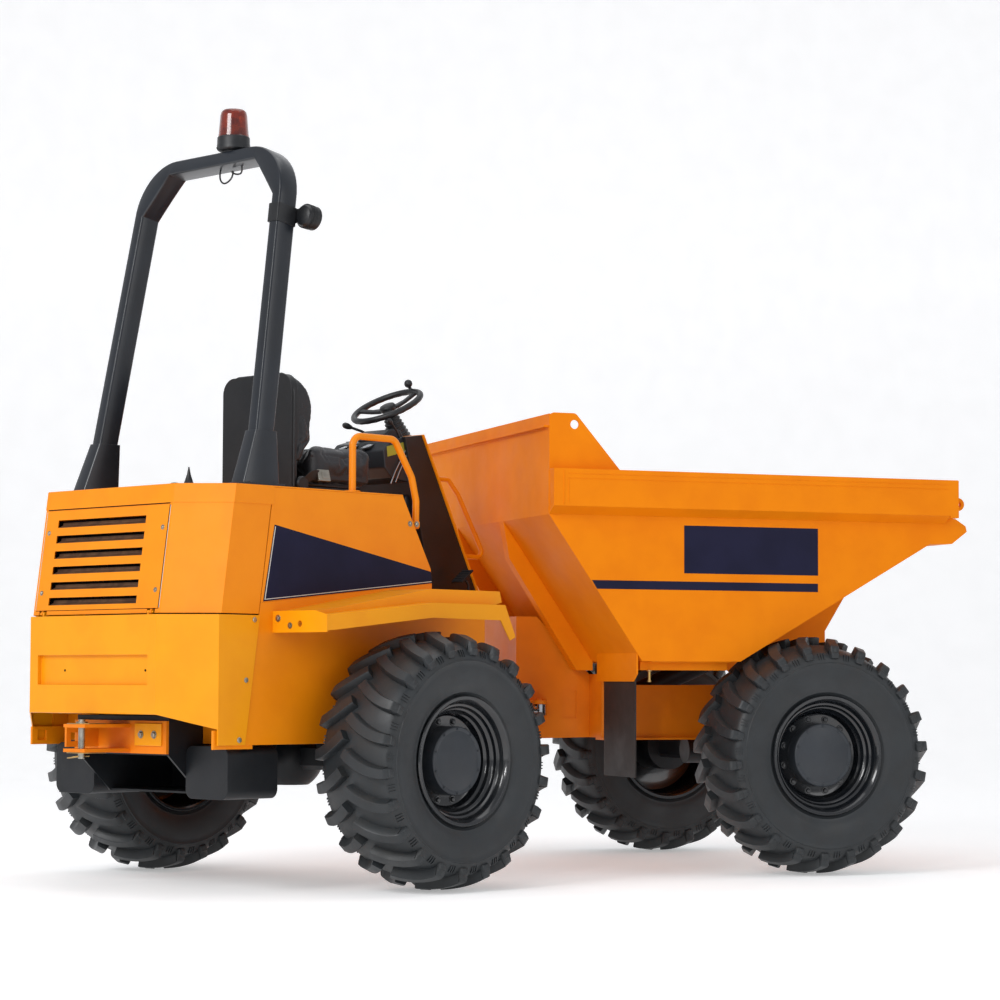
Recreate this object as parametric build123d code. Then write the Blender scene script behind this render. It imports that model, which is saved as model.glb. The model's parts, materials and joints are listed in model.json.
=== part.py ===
"""Articulated site dumper with a forward-tipping skip, in millimetres, ground at Z 0, front chassis along +X.

Each half is modelled straight ahead about the steering pivot at X 0, Y 0. The rear half is then
turned by steer_angle about that pivot, so the machine stands as parked, on part right lock.
"""

import os
from math import atan2, cos, degrees, hypot, pi, radians, sin, tan

from build123d import *

# ---- layout ------------------------------------------------------------------------------------
steer_angle = 26.5  # how far the rear half is turned about the pivot
front_axle_x = 1260.0
rear_axle_x = -1220.0
wheel_centre_y = 895.0
origin_shift = (103.5, 325.0)  # pivot's place once the footprint is centred on the origin

# ---- clearances --------------------------------------------------------------------------------
seat_gap = 0.3  # between pieces that seat on each other
pin_gap = 0.05  # radial, round a pin

# ---- wheels ------------------------------------------------------------------------------------
tyre_radius = 537.5
tyre_facets = 44
lug_rows = 22
lug_height = 36.0
lug_width = 44.0
lug_spread = 68.0  # how far a lug's crown end reaches round the tyre from the lug's middle
shoulder_y = 195.0
shoulder_drop = 40.0  # how far the lugs' outer ends lie below the crown
bead_radius = 268.0
bead_y = 168.0
rim_barrel_radius = 254.0
rim_flange_radius = 265.0
rim_facets = 36
rim_wall = 10.0
hub_cap_radius = 142.5
hub_cap_y = 133.0  # outboard of the tyre's middle
hub_face_y = 62.0
hub_plate = 12.0
axle_seat_z = 597.0  # where the chassis rests on the axles' pads

# ---- sheet and plate ---------------------------------------------------------------------------
skip_sheet = 8.0
body_sheet = 6.0
chassis_plate = 15.0

# ---- skip --------------------------------------------------------------------------------------
skip_half_width = 940.0
skip_back_x = -30.0
skip_top_z = 2045.0
skip_back_fold_z = 1600.0
skip_floor_z = 957.0
skip_floor_back_x = 414.0
skip_floor_front_x = 892.0
skip_front_x = 1935.0
skip_lip_z = 1549.0
skip_beak = [(1858.0, 1505.2), (1972.0, 1508.0), (2050.0, 1566.0), (2044.0, 1592.0), (1990.0, 1625.0)]  # under the lip
rim_top_z = 1800.0
rim_bottom_z = 1635.0
rim_return_z = 1600.0
rim_depth = 60.0
rim_front_depth = 42.0
skip_frame_z = 917.0  # underside of the ribs and floor beams
ear_front_x = 310.0
ear_hole = (90.0, 2000.0)
ear_hole_radius = 20.0
lip_eye = (2011.0, 1693.0)
lip_eye_radius = 13.0
skip_hinge = (1550.0, 860.0)
skip_hinge_radius = 30.0
skip_tip_limit = 70.0
rib_y = (290.0, 350.0)
flap_x = 396.0
flap_y = (530.0, 902.0)
hanger_y = (464.0, 936.0)
flap_top_z = 866.0

# ---- front chassis -----------------------------------------------------------------------------
chassis_half_width = 420.0
chassis_back_x = 430.0
chassis_front_x = 1650.0
chassis_bottom_z = 607.0
chassis_top_z = 850.0
flange_thickness = 10.0
tower_half_width = 265.0
tower_back_x = 66.0
tower_top_z = 1165.0

# ---- steering pivot ----------------------------------------------------------------------------
kingpin_radius = 32.0
pivot_low_z = 600.0
pivot_high_z = 870.0
pivot_lug_thickness = 30.0
pivot_boss_radius = 78.0
trunnion_z = 735.0
trunnion_radius = 85.0

# ---- rams: (fixed eye, moving eye) and sizes ---------------------------------------------------
tip_ram_base = (620.0, 740.0)
tip_ram_eye = (1300.0, 1030.0)
tip_ram_radius = 52.0
tip_rod_radius = 27.0
steer_ram_base = (-680.0, -350.0)
steer_ram_eye = (150.0, -350.0)
steer_ram_z = 735.0
steer_ram_radius = 38.0
steer_rod_radius = 19.0
ram_pin_radius = 17.0
eye_wall = 16.0

# ---- rear body ---------------------------------------------------------------------------------
body_half_width = 605.0
bumper_half_width = body_half_width + body_sheet + seat_gap  # its wings lap over the side panels
bumper_lap = 50.0
bumper_back_x = -2316.0
bumper_face_half = 413.0
bumper_corner_x = -2156.0
bumper_bottom_z = 730.0
bumper_corner_z = 670.0
side_bottom_z = 606.0
belt_z = 1130.0  # seam between bumper and engine cover
cover_back_x = -2300.0
cover_lean = 62.0  # forward lean of the cover's rear face up to the top band
cover_face_half = 418.0
cover_corner_x = -2140.0
cover_front_x = -1930.0
cover_hinge = (-2296.0, 1140.0)  # the cover tips back about its lower rear edge
cover_pin_radius = 5.0
cover_tip_limit = 70.0
band_z = 1580.0  # top of the grille
deck_z = 1660.0
cowl_front_x = -1126.0
cowl_knee = (-957.0, 1348.0)
cowl_foot = (-950.0, 1287.0)
floor_z = 1250.0
floor_front_x = -250.0
side_front_x = -620.0
cowl_back_z = 1181.0
cover_seam_top_x = -1862.0
lid_gap = 5.0
plate_recess_z = (846.0, 968.0)
plate_recess_half = 366.0
plate_recess_depth = 20.0
grille_size = (800.0, 405.0)
louvre_count = 6
louvre_size = (580.0, 32.0)
louvre_pitch = 66.0
louvre_middle_y = 30.0

# ---- rear chassis ------------------------------------------------------------------------------
rail_y = 300.0
rail_top_z = 720.0
rail_bottom_z = 400.0
nose_top_z = 840.0
nose_back_x = -760.0
nose_half = 190.0

# ---- operator's station ------------------------------------------------------------------------
rops_leg = (100.0, 60.0)  # fore-and-aft, across
rops_foot_z = 1880.0
rops_back_x = -1904.0  # leg's rear face at its foot
rops_lean = 0.17  # forward for each unit up
rops_half_width = 543.0
rops_taper = 0.061  # inward for each unit up
rops_top_z = 3125.0
rops_bend_z = 2900.0
rops_corner_y = 330.0
rops_corner_radius = 110.0
beacon_y = -120.0
work_lamp_z = 2850.0
rail_radius = 15.0
console_half = 195.0
console_sheet = 8.0
console_face = [(-258.0, floor_z + seat_gap), (-258.0, 1285.0), (-610.0, 1975.0)]  # front line, floor to dash
seat_back_x = -1430.0
steering_wheel_centre = (-640.0, 2115.0)
steering_wheel_radius = 161.0
steering_wheel_tilt = 29.0
steering_wheel_spokes = (-20, 100, 220)


def slab_xz(face, y_low, y_high):
    return extrude(Plane((0, y_high, 0), x_dir=(1, 0, 0), z_dir=(0, -1, 0)) * face, amount=y_high - y_low)


def slab_xy(face, z_low, z_high):
    return extrude(Plane.XY.offset(z_low) * face, amount=z_high - z_low)


def slab_yz(face, x_low, x_high):
    return extrude(Plane((x_low, 0, 0), x_dir=(0, 1, 0), z_dir=(1, 0, 0)) * face, amount=x_high - x_low)


def outline(*points):
    return make_face(Polyline(*points, close=True))


def bent_sheet(thickness, *points, side=Side.LEFT):
    """Section of a folded sheet: the line given and its mitred copy one thickness to one side."""
    return make_face(offset(Polyline(*points), thickness, kind=Kind.INTERSECTION, side=side))


def both_sides(part):
    return part + mirror(part, about=Plane.XZ)


def box(x_low, x_high, y_low, y_high, z_low, z_high):
    size = (x_high - x_low, y_high - y_low, z_high - z_low)
    return Pos(x_low, y_low, z_low) * Box(*size, align=(Align.MIN, Align.MIN, Align.MIN))


def rod_y(x, z, radius, y_low, y_high):
    return slab_xz(Pos(x, z) * Circle(radius), y_low, y_high)


def faceted_drum(facets, *sections):
    """Many-sided drum along Y through (y, radius) sections."""
    rings = [Plane((0, y, 0), x_dir=(1, 0, 0), z_dir=(0, 1, 0)) * RegularPolygon(radius, facets) for y, radius in sections]
    return loft(rings, ruled=True)


# ---- wheels ------------------------------------------------------------------------------------


def tread_radius(y):
    """Distance of the lugs' flat tops from the axle over the tyre's width, their corners at tyre_radius."""
    return tyre_radius * cos(lug_spread / tyre_radius) - shoulder_drop * (y / shoulder_y) ** 2


def lug():
    """One tread lug: starts ahead at the crown, slants back and turns square across the shoulder."""
    knee_y, inner_y = 0.55 * shoulder_y, 8.0
    half = lug_width / 2
    crown_x, knee_x, end_x = lug_spread - half, -half, half - lug_spread
    plan = outline(
        (crown_x - half, inner_y), (crown_x + half, inner_y), (knee_x + half, knee_y), (end_x + half - 2, shoulder_y),
        (end_x - half + 2, shoulder_y), (knee_x - half, knee_y),
    )
    block = Plane((0, 0, tread_radius(shoulder_y) - lug_height - 30), x_dir=(1, 0, 0), z_dir=(0, 0, 1)) * plan
    block = extrude(block, amount=tyre_radius)
    top = outline(
        (0, 0), (0, tread_radius(0)), (knee_y, tread_radius(knee_y)), (shoulder_y + 1, tread_radius(shoulder_y + 1)),
        (shoulder_y + 1, 0),
    )
    return block & slab_yz(top, -200, 200)


def tyre():
    base = lug_height
    body = faceted_drum(
        tyre_facets, (-shoulder_y, tread_radius(shoulder_y) - base), (0, tyre_radius - base),
        (shoulder_y, tread_radius(shoulder_y) - base),
    )
    side = faceted_drum(
        tyre_facets, (bead_y, bead_radius), (shoulder_y, tread_radius(shoulder_y) - base - 14), (shoulder_y + 1, tyre_radius),
    )
    body -= both_sides(side)
    body -= faceted_drum(tyre_facets, (-300, rim_barrel_radius + 2), (300, rim_barrel_radius + 2))
    pitch = 360 / lug_rows
    lugs = [Rot(0, pitch * row, 0) * lug() for row in range(lug_rows)]
    mirrored = mirror(lug(), about=Plane.XZ)
    lugs += [Rot(0, pitch * (row + 0.5), 0) * mirrored for row in range(lug_rows)]
    return body + lugs


def rim(side):
    """Deep-dish rim and hub cap, its open face towards +Y, turned over for the right-hand side."""
    inside = rim_barrel_radius - rim_wall
    edge = bead_y + 14
    seat_y = bead_y + seat_gap
    barrel = faceted_drum(
        rim_facets, (-edge, rim_flange_radius), (-seat_y - 0.2, rim_flange_radius), (-seat_y, rim_barrel_radius),
        (seat_y, rim_barrel_radius), (seat_y + 0.2, rim_flange_radius), (edge, rim_flange_radius),
    )
    dish = faceted_drum(
        rim_facets, (hub_face_y, 178), (hub_face_y + 45, inside - 30), (edge - 25, inside - 12), (edge + 1, inside + 2),
    )
    well = faceted_drum(rim_facets, (-edge - 1, inside), (hub_face_y - hub_plate, inside))
    hub = Rot(-90, 0, 0) * Cylinder(hub_cap_radius, hub_cap_y - hub_face_y + 4, align=(Align.CENTER, Align.CENTER, Align.MIN))
    wheel = barrel - dish - well + Pos(0, hub_face_y - 4, 0) * hub
    return wheel if side > 0 else mirror(wheel, about=Plane.XZ)


# ---- axles -------------------------------------------------------------------------------------


def axle():
    """Rigid drive axle: beam, differential housing, final drives that reach into the rims."""
    hub_end = wheel_centre_y + hub_face_y - hub_plate - seat_gap
    drive_start = wheel_centre_y - 180
    beam = box(-60, 60, -drive_start, drive_start, -55, 55)
    beam = chamfer(beam.edges().filter_by(Axis.Y), 18)
    casing = Sphere(150) & Box(300, 300, 250)
    nose = Pos(-150, 0, 0) * Rot(0, 90, 0) * Cylinder(62, 160)
    drive = rod_y(0, 0, 118, drive_start, hub_end)
    pads = both_sides(box(-90, 90, rail_y - 30, chassis_half_width, 40, axle_seat_z - tyre_radius))
    return beam + casing + nose + both_sides(drive) + pads


# ---- front half --------------------------------------------------------------------------------


def front_chassis():
    side = outline(
        (chassis_back_x, chassis_bottom_z), (chassis_front_x - 90, chassis_bottom_z), (chassis_front_x, 700),
        (chassis_front_x, 900), (1460, 900), (1400, chassis_top_z), (chassis_back_x, chassis_top_z),
    )
    y_in, y_out = chassis_half_width - chassis_plate, chassis_half_width
    sides = slab_xz(side, y_in, y_out)
    sides += box(chassis_back_x, chassis_front_x - 90, y_in - 60, y_out + 18, chassis_bottom_z - flange_thickness, chassis_bottom_z)
    sides -= rod_y(*skip_hinge, skip_hinge_radius + pin_gap, y_in - 1, y_out + 1)
    frame = both_sides(sides)
    half = chassis_half_width
    frame += box(chassis_back_x, chassis_back_x + 12, -half, half, chassis_bottom_z, 900)
    frame += box(chassis_front_x - 200, chassis_front_x - 185, -y_in, y_in, chassis_bottom_z, 760)
    frame += box(560, 1000, -y_in, y_in, chassis_bottom_z, chassis_bottom_z + 10)
    for x, low, high in ((1080, 607, 690), (760, 617, 650)):
        frame += box(x, x + 15, -y_in, y_in, low, high)
    frame += ram_base_lugs()
    return frame + tower()


def tower():
    """Box tower over the pivot: side plates with a raked front, a pressed recess, back plate, clevis lugs."""
    side = outline(
        (tower_back_x, pivot_low_z), (chassis_back_x, pivot_low_z + 7), (chassis_back_x, 900), (167, tower_top_z),
        (tower_back_x, tower_top_z),
    )
    plates = slab_xz(side, tower_half_width - chassis_plate, tower_half_width)
    recess = Pos(330, 760) * Rectangle(70, 130)
    plates -= slab_xz(recess, tower_half_width - 5, tower_half_width)
    shell = both_sides(plates)
    inner = tower_half_width - chassis_plate
    shell += box(tower_back_x, tower_back_x + 20, -inner, inner, pivot_low_z, tower_top_z)
    slope = bent_sheet(12, (chassis_back_x + 8, 892), (167, tower_top_z), (tower_back_x + 10, tower_top_z))
    shell += slab_xz(slope, -inner, inner)
    for z in (pivot_low_z, pivot_high_z - pivot_lug_thickness):
        plan = outline((tower_back_x + 1, -150), (tower_back_x + 1, 150), (0, pivot_boss_radius), (0, -pivot_boss_radius))
        shell += slab_xy(plan + Circle(pivot_boss_radius), z, z + pivot_lug_thickness)
    shell -= Pos(0, 0, pivot_low_z - 1) * Cylinder(kingpin_radius + pin_gap, 300, align=(Align.CENTER, Align.CENTER, Align.MIN))
    return shell + steer_lug(steer_ram_eye, tower_half_width, pin_ends=True)


def steer_lug(eye, y_root, pin_ends=False):
    """Pair of plates that hold the steering ram's pin, reaching out to the right from y_root."""
    x, y = eye
    half, gap, thick = 34, 27, 16
    plan = outline((x - 70, -y_root + 4), (x - half, y), (x + half, y), (x + 70, -y_root + 4)) + Pos(x, y) * Circle(half)
    if not pin_ends:
        plan -= Pos(x, y) * Circle(ram_pin_radius + pin_gap)
    lugs = slab_xy(plan, steer_ram_z + gap, steer_ram_z + gap + thick) + slab_xy(plan, steer_ram_z - gap - thick, steer_ram_z - gap)
    if pin_ends:
        head = Pos(x, y) * Circle(ram_pin_radius)
        lugs += slab_xy(head, steer_ram_z + gap + thick, steer_ram_z + gap + thick + 8)
        lugs += slab_xy(head, steer_ram_z - gap - thick - 8, steer_ram_z - gap - thick)
    return lugs


def ram_base_lugs():
    x, z = tip_ram_base
    lug = outline((x - 70, chassis_bottom_z + 5), (x + 80, chassis_bottom_z + 5), (x + 34, z), (x - 34, z)) + Pos(x, z) * Circle(34)
    lug -= Pos(x, z) * Circle(ram_pin_radius + pin_gap)
    return both_sides(slab_xz(lug, 38, 56))


def kingpin():
    length = pivot_high_z - pivot_low_z + 50
    pin = Pos(0, 0, pivot_low_z - 25) * Cylinder(kingpin_radius, length, align=(Align.CENTER, Align.CENTER, Align.MIN))
    cap = Pos(0, 0, pivot_high_z + seat_gap) * Cylinder(52, 16, align=(Align.CENTER, Align.CENTER, Align.MIN))
    return pin + cap


def skip_hinge_pin():
    x, z = skip_hinge
    return rod_y(x, z, skip_hinge_radius, -chassis_half_width - 22, chassis_half_width + 22)


# ---- skip --------------------------------------------------------------------------------------


def skip_underside_z(x):
    """Height of the skip's sloping front."""
    return skip_floor_z + (x - skip_floor_front_x) * (skip_lip_z - skip_floor_z) / (skip_front_x - skip_floor_front_x)


def skip_back_z(x):
    """Height of the skip's sloping back, below its fold."""
    slope = (skip_back_fold_z - skip_floor_z) / (skip_floor_back_x - skip_back_x)
    return skip_floor_z + (skip_floor_back_x - x) * slope


def skip_shell():
    t = skip_sheet
    line = [
        (skip_front_x, rim_top_z), (skip_front_x, skip_lip_z), (skip_floor_front_x, skip_floor_z), (skip_floor_back_x, skip_floor_z),
        (skip_back_x, skip_back_fold_z), (skip_back_x, skip_top_z),
    ]
    inner = skip_half_width - t
    trough = slab_xz(bent_sheet(t, *line, side=Side.RIGHT), -inner, inner)
    wall = outline(
        line[0], (skip_front_x, skip_beak[-1][1]), *reversed(skip_beak), *line[2:-1], (skip_back_x, 2050),
        (skip_back_x + 125, 2050), (ear_front_x, rim_top_z),
    )
    wall = fillet(wall.vertices().sort_by(Axis.Y)[-2:], 25) - Pos(*ear_hole) * Circle(ear_hole_radius)
    walls = both_sides(slab_xz(wall, inner, skip_half_width))
    flange = box(skip_back_x - 22, skip_back_x, -inner, inner, skip_top_z - 60, skip_top_z - 52)
    return trough + walls + flange


def skip_rim():
    """Box rims along both sides and the front, closed at the back, each with a raked lower face."""
    w, d = skip_half_width, rim_depth
    section = outline((w, rim_top_z), (w + d, rim_top_z), (w + d, rim_bottom_z), (w, rim_return_z))
    hollow = outline((w + 5, rim_top_z - 5), (w + d - 5, rim_top_z - 5), (w + d - 5, rim_bottom_z + 4), (w + 5, rim_return_z + 12))
    side = slab_yz(section, skip_back_x, skip_front_x) - slab_yz(hollow, skip_back_x + 5, skip_front_x - 5)
    edge = skip_front_x + rim_front_depth
    front = box(skip_front_x, edge, -w - d, w + d, rim_bottom_z - 10, rim_top_z)
    front -= box(skip_front_x + 5, edge - 5, -w - d + 5, w + d - 5, rim_bottom_z - 5, rim_top_z - 5)
    eye = box(edge, lip_eye[0], w - 25, w - 5, lip_eye[1] - 30, lip_eye[1] + 30) + rod_y(*lip_eye, 30, w - 25, w - 5)
    eye -= rod_y(*lip_eye, lip_eye_radius, w - 30, w)
    return both_sides(side) + front + both_sides(eye)


def skip_underframe():
    """Back ribs, floor beams, lip beam, hinge gussets, ram lugs and flap hangers, all hung under the skip's sheet."""
    x, z = tip_ram_eye
    foot = skip_frame_z
    rib = outline(
        (skip_back_x, skip_back_fold_z), (skip_floor_back_x, skip_floor_z), (skip_floor_back_x, foot),
        (skip_floor_back_x - 81, foot), (skip_back_x + 30, skip_back_fold_z - 170),
    )
    inner = outline(
        (skip_back_x + 40, skip_back_fold_z - 72), (skip_floor_back_x - 12, skip_floor_z + 9), (skip_floor_back_x - 12, foot + 8),
        (skip_floor_back_x - 73, foot + 8), (skip_back_x + 45, skip_back_fold_z - 154),
    )
    parts = slab_xz(rib, rib_y[0], rib_y[1]) - slab_xz(inner, rib_y[0] + 6, rib_y[1] - 6)
    parts += slab_xz(hinge_gusset(), 340, 352) + box(skip_floor_back_x + 10, 850, 850, 890, foot, skip_floor_z)
    lug = outline((x - 60, skip_underside_z(x - 60)), (x + 80, skip_underside_z(x + 80)), (x + 34, z), (x - 34, z))
    lug += Pos(x, z) * Circle(34)
    parts += slab_xz(lug, 38, 56) + rod_y(x, z, ram_pin_radius, 56, 70)
    low, high = hanger_y
    hanger = slab_xz(
        outline(
            (flap_x - 8, flap_top_z), (flap_x, flap_top_z), (flap_x, skip_back_z(flap_x)), (flap_x - 8, skip_back_z(flap_x - 8)),
        ),
        low, high,
    )
    hanger -= slab_yz(outline((high - 46, flap_top_z - 1), (high + 1, flap_top_z - 1), (high + 1, flap_top_z + 35)), flap_x - 9, flap_x + 1)
    beak = outline(*skip_beak, (skip_front_x, skip_beak[-1][1]), (skip_front_x, skip_lip_z))
    half = skip_half_width - skip_sheet
    beam = slab_xz(beak, -half, half) - slab_xz(offset(beak, -6, kind=Kind.INTERSECTION), -half + 6, half - 6)
    return both_sides(parts + hanger) + beam


def hinge_gusset():
    x, z = skip_hinge
    plate = outline(
        (1180, skip_underside_z(1180)), (1850, skip_underside_z(1850)), (1749, 1330), (x + 60, 1110), (x + 60, z), (x - 60, z),
    )
    return plate + Pos(x, z) * Circle(60) - Pos(x, z) * Circle(skip_hinge_radius + pin_gap)


def mudflaps():
    """Rubber flaps bolted to the front of their hangers, behind the front tyres."""
    return both_sides(box(flap_x, flap_x + 6, flap_y[0], flap_y[1], 440, flap_top_z + 34))


# ---- rams --------------------------------------------------------------------------------------


def ram_barrel(length, radius, width, rod_radius):
    """Barrel along +X from its base eye at the origin, eye bore along Z, out to its gland."""
    up = (Align.CENTER, Align.CENTER, Align.MIN)
    start = ram_pin_radius + eye_wall + 14
    eye = Cylinder(ram_pin_radius + eye_wall, width) + box(0, start + 5, -22, 22, -width / 2, width / 2)
    tube = Pos(start, 0, 0) * Rot(0, 90, 0) * Cylinder(radius, length - start, align=up)
    tube -= Pos(start + 45, 0, 0) * Rot(0, 90, 0) * Cylinder(radius - 8, length - start - 75, align=up)
    tube -= Pos(start + 5, 0, 0) * Rot(0, 90, 0) * Cylinder(rod_radius + pin_gap, length, align=up)
    return eye + tube - Cylinder(ram_pin_radius + pin_gap, width + 1)


def ram_rod(length, radius, width):
    """Rod along -X from its eye at the origin back into the barrel.

    The eye is where the linkage is opened, so it holds the middle of its own pin, and the lugs hold the ends.
    """
    eye = Cylinder(ram_pin_radius + eye_wall, width)
    return eye + Rot(0, -90, 0) * Cylinder(radius, length, align=(Align.CENTER, Align.CENTER, Align.MIN))


def along(start, end):
    """Ram placed from start to end in the plane that its pins are square to."""
    return degrees(atan2(end[1] - start[1], end[0] - start[0])), hypot(end[0] - start[0], end[1] - start[1])


def rear_to_front(point):
    """Where a rear-half point lies in the front half's frame when parked."""
    a = radians(steer_angle)
    return (point[0] * cos(a) - point[1] * sin(a), point[0] * sin(a) + point[1] * cos(a))


tip_angle, tip_length = along(tip_ram_base, tip_ram_eye)
steer_start = rear_to_front(steer_ram_base)
steer_heading, steer_length = along(steer_start, steer_ram_eye)


def tip_ram():
    x, z = tip_ram_base
    turn = Pos(x, 0, z) * Rot(0, -tip_angle, 0) * Rot(90, 0, 0)
    gland = 0.82 * tip_length
    barrel = turn * ram_barrel(gland, tip_ram_radius, 74, tip_rod_radius)
    rod = turn * Pos(tip_length, 0, 0) * ram_rod(tip_length - 120, tip_rod_radius, 74)
    return barrel, rod


def steer_ram():
    turn = Pos(*steer_start, steer_ram_z) * Rot(0, 0, steer_heading)
    gland = 0.86 * steer_length
    barrel = turn * ram_barrel(gland, steer_ram_radius, 50, steer_rod_radius)
    rod = turn * Pos(steer_length, 0, 0) * ram_rod(steer_length - 90, steer_rod_radius, 50)
    return barrel, rod


# ---- rear half: chassis ------------------------------------------------------------------------


def rear_chassis():
    """Plate rails, cross members, and a narrower nose with the trunnion housing behind the pivot."""
    rail = outline(
        (-2150, 560), (-2150, rail_top_z), (nose_back_x, rail_top_z), (nose_back_x, 610), (-900, axle_seat_z + seat_gap), (-1560, axle_seat_z + seat_gap),
        (-1640, rail_bottom_z), (-1980, rail_bottom_z),
    )
    y = rail_y - 12
    frame = both_sides(slab_xz(rail, y, rail_y))
    frame += box(-2150, -2138, -y, y, 560, rail_top_z) + box(nose_back_x, nose_back_x + 12, -rail_y, rail_y, 610, rail_top_z)
    frame += box(-1975, -1640, -y, y, rail_bottom_z, rail_bottom_z + 8) + box(-1640, -1628, -y, y, rail_bottom_z, 640)
    nose = outline((nose_back_x + 12, 610), (nose_back_x + 12, rail_top_z), (-600, nose_top_z), (-420, nose_top_z), (-420, 640))
    frame += both_sides(slab_xz(nose, nose_half - 12, nose_half)) + box(-432, -420, -nose_half, nose_half, 640, nose_top_z)
    frame += both_sides(rops_upright())
    housing = Pos(-432, 0, trunnion_z) * Rot(0, -90, 0) * Cylinder(trunnion_radius + 28, 280, align=(Align.CENTER, Align.CENTER, Align.MIN))
    frame += housing
    frame -= Pos(-300, 0, trunnion_z) * Rot(0, -90, 0) * Cylinder(trunnion_radius + pin_gap, 420, align=(Align.CENTER, Align.CENTER, Align.MIN))
    return frame + steer_lug(steer_ram_base, nose_half)


def rops_upright():
    """Post from the rail out and up to the deck, under the roll bar's foot."""
    x, y, half = rops_x(deck_z) + 60, rops_half_width - 20, 35
    arm = box(x - half, x + half, rail_y - 12, y + half, rail_top_z - 40, rail_top_z + 40)
    return arm + box(x - half, x + half, y - half, y + half, rail_top_z, deck_z - body_sheet - seat_gap)


def pivot_carrier():
    """Steering hub with its kingpin bore, on the trunnion that the rear half rolls about."""
    gap = seat_gap
    hub = Pos(0, 0, pivot_low_z + pivot_lug_thickness + gap) * Cylinder(
        tower_back_x - 6, pivot_high_z - pivot_low_z - 2 * pivot_lug_thickness - 2 * gap, align=(Align.CENTER, Align.CENTER, Align.MIN)
    )
    arm = Pos(-60, 0, trunnion_z) * Rot(0, -90, 0) * Cylinder(trunnion_radius, 630, align=(Align.CENTER, Align.CENTER, Align.MIN))
    collar = Pos(-330, 0, trunnion_z) * Rot(0, -90, 0) * Cylinder(trunnion_radius + 26, 88, align=(Align.CENTER, Align.CENTER, Align.MIN))
    neck = box(-120, -30, -60, 60, 660, 810)
    carrier = hub + arm + collar + neck
    return carrier - Pos(0, 0, pivot_low_z) * Cylinder(kingpin_radius + pin_gap, 300, align=(Align.CENTER, Align.CENTER, Align.MIN))


def engine():
    block = box(-2090, -1420, -230, 230, 560, 1330)
    block -= box(-2090, -1900, -230, 230, 1150, 1330) + box(-1640, -1420, -231, 231, 559, 640)
    feet = box(-2040, -1970, 229, rail_y - 12 - seat_gap, 640, 690) + box(-1560, -1490, 229, rail_y - 12 - seat_gap, 650, 700)
    return block + both_sides(feet)


def belly_tank():
    """Fuel tank slung outside the right-hand rail, oil tank outside the left."""
    tank = box(-2060, -1790, rail_y, 560, 385, 600)
    return both_sides(fillet(tank.edges().filter_by(Axis.X), 40))


def tow_hitch():
    plates = [box(-2400, -2150, -70, 70, z, z + 14) for z in (572, 672)]
    hitch = plates[0] + plates[1] + box(-2164, -2150.3, -300, 300, 566, 700)
    for plate_z in (572, 672):
        hitch -= Pos(-2360, 0, plate_z) * Cylinder(14 + pin_gap, 60)
    ear = box(-2330, -2164, 140, 152, 590, 672) - Pos(-2290, 146, 631) * Box(36, 30, 36)
    return hitch + ear


def tow_pin():
    pin = Pos(-2360, 0, 545) * Cylinder(14, 160, align=(Align.CENTER, Align.CENTER, Align.MIN))
    return pin + Pos(-2360, 0, 686 + seat_gap) * Cylinder(24, 10, align=(Align.CENTER, Align.CENTER, Align.MIN))


# ---- rear half: bodywork -----------------------------------------------------------------------


def wrap_plan(front_x, corner_x, back_x, half, face_half, inset=0.0):
    """Plan of a wall that runs along both sides, round two chamfers and across the back."""
    chamfer_angle = atan2(corner_x - back_x, half - face_half)
    y_face = face_half - inset * tan(chamfer_angle / 2)
    x_corner = corner_x + inset * tan((pi / 2 - chamfer_angle) / 2)
    y_side = half - inset
    x_front = front_x + (5 if inset else 0)
    right = [(x_front, -y_side), (x_corner, -y_side), (back_x + inset, -y_face)]
    return outline(*right, *[(x, -y) for x, y in reversed(right)])


def raked_wrap(front_x, z_low, z_high):
    """Wall of the rear bodywork between two heights, its back leaning forward as it rises."""
    walls = []
    for inset in (0, body_sheet):
        plans = []
        for z in (z_low, z_high):
            shift = cover_lean * (z - belt_z) / (band_z - belt_z)
            plan = wrap_plan(front_x, cover_corner_x + shift, cover_back_x + shift, body_half_width, cover_face_half, inset)
            plans.append(Plane.XY.offset(z) * plan)
        walls.append(loft(plans, ruled=True))
    return walls[0] - walls[1]


def seam_x(z):
    """Raked seam between the engine cover and the side cowls."""
    return cover_front_x + (cover_seam_top_x - cover_front_x) * (z - cowl_back_z) / (deck_z - cowl_back_z)


def bumper():
    """Folded wrap: rear face with a shallow plate recess, raked chamfers, short wings along the sides."""
    sizes = (seam_x(belt_z), bumper_corner_x, bumper_back_x, bumper_half_width, bumper_face_half)
    wrap = slab_xy(wrap_plan(*sizes) - wrap_plan(*sizes, body_sheet), side_bottom_z, belt_z)
    wrap -= slab_xz(
        outline((seam_x(side_bottom_z), side_bottom_z - 1), (seam_x(belt_z), belt_z + 1), (cowl_front_x, side_bottom_z - 1)),
        -700, 700,
    )
    wrap -= slab_xz(
        outline(
            (bumper_back_x - 20, side_bottom_z - 1), (bumper_back_x - 20, bumper_bottom_z), (bumper_back_x, bumper_bottom_z),
            (bumper_corner_x, bumper_corner_z), (bumper_corner_x, side_bottom_z - 1),
        ),
        -700, 700,
    )
    low, high, depth = plate_recess_z[0], plate_recess_z[1], plate_recess_depth
    back = bumper_back_x
    wrap += box(back + 1, back + depth + body_sheet, -plate_recess_half, plate_recess_half, low - body_sheet, high + body_sheet)
    wrap -= box(back - 1, back + depth, -plate_recess_half + body_sheet, plate_recess_half - body_sheet, low, high)
    x, z = cover_hinge
    lug = outline((back + 4, z - 55), (back + 4, z - 35), (x - 7, z - 10), (x - 7, z), (x + 7, z), (x + 7, z - 30)) + Pos(x, z) * Circle(8)
    return wrap + both_sides(slab_xz(lug, 338, 350) + rod_y(x, z, cover_pin_radius, 338, 372))


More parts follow.
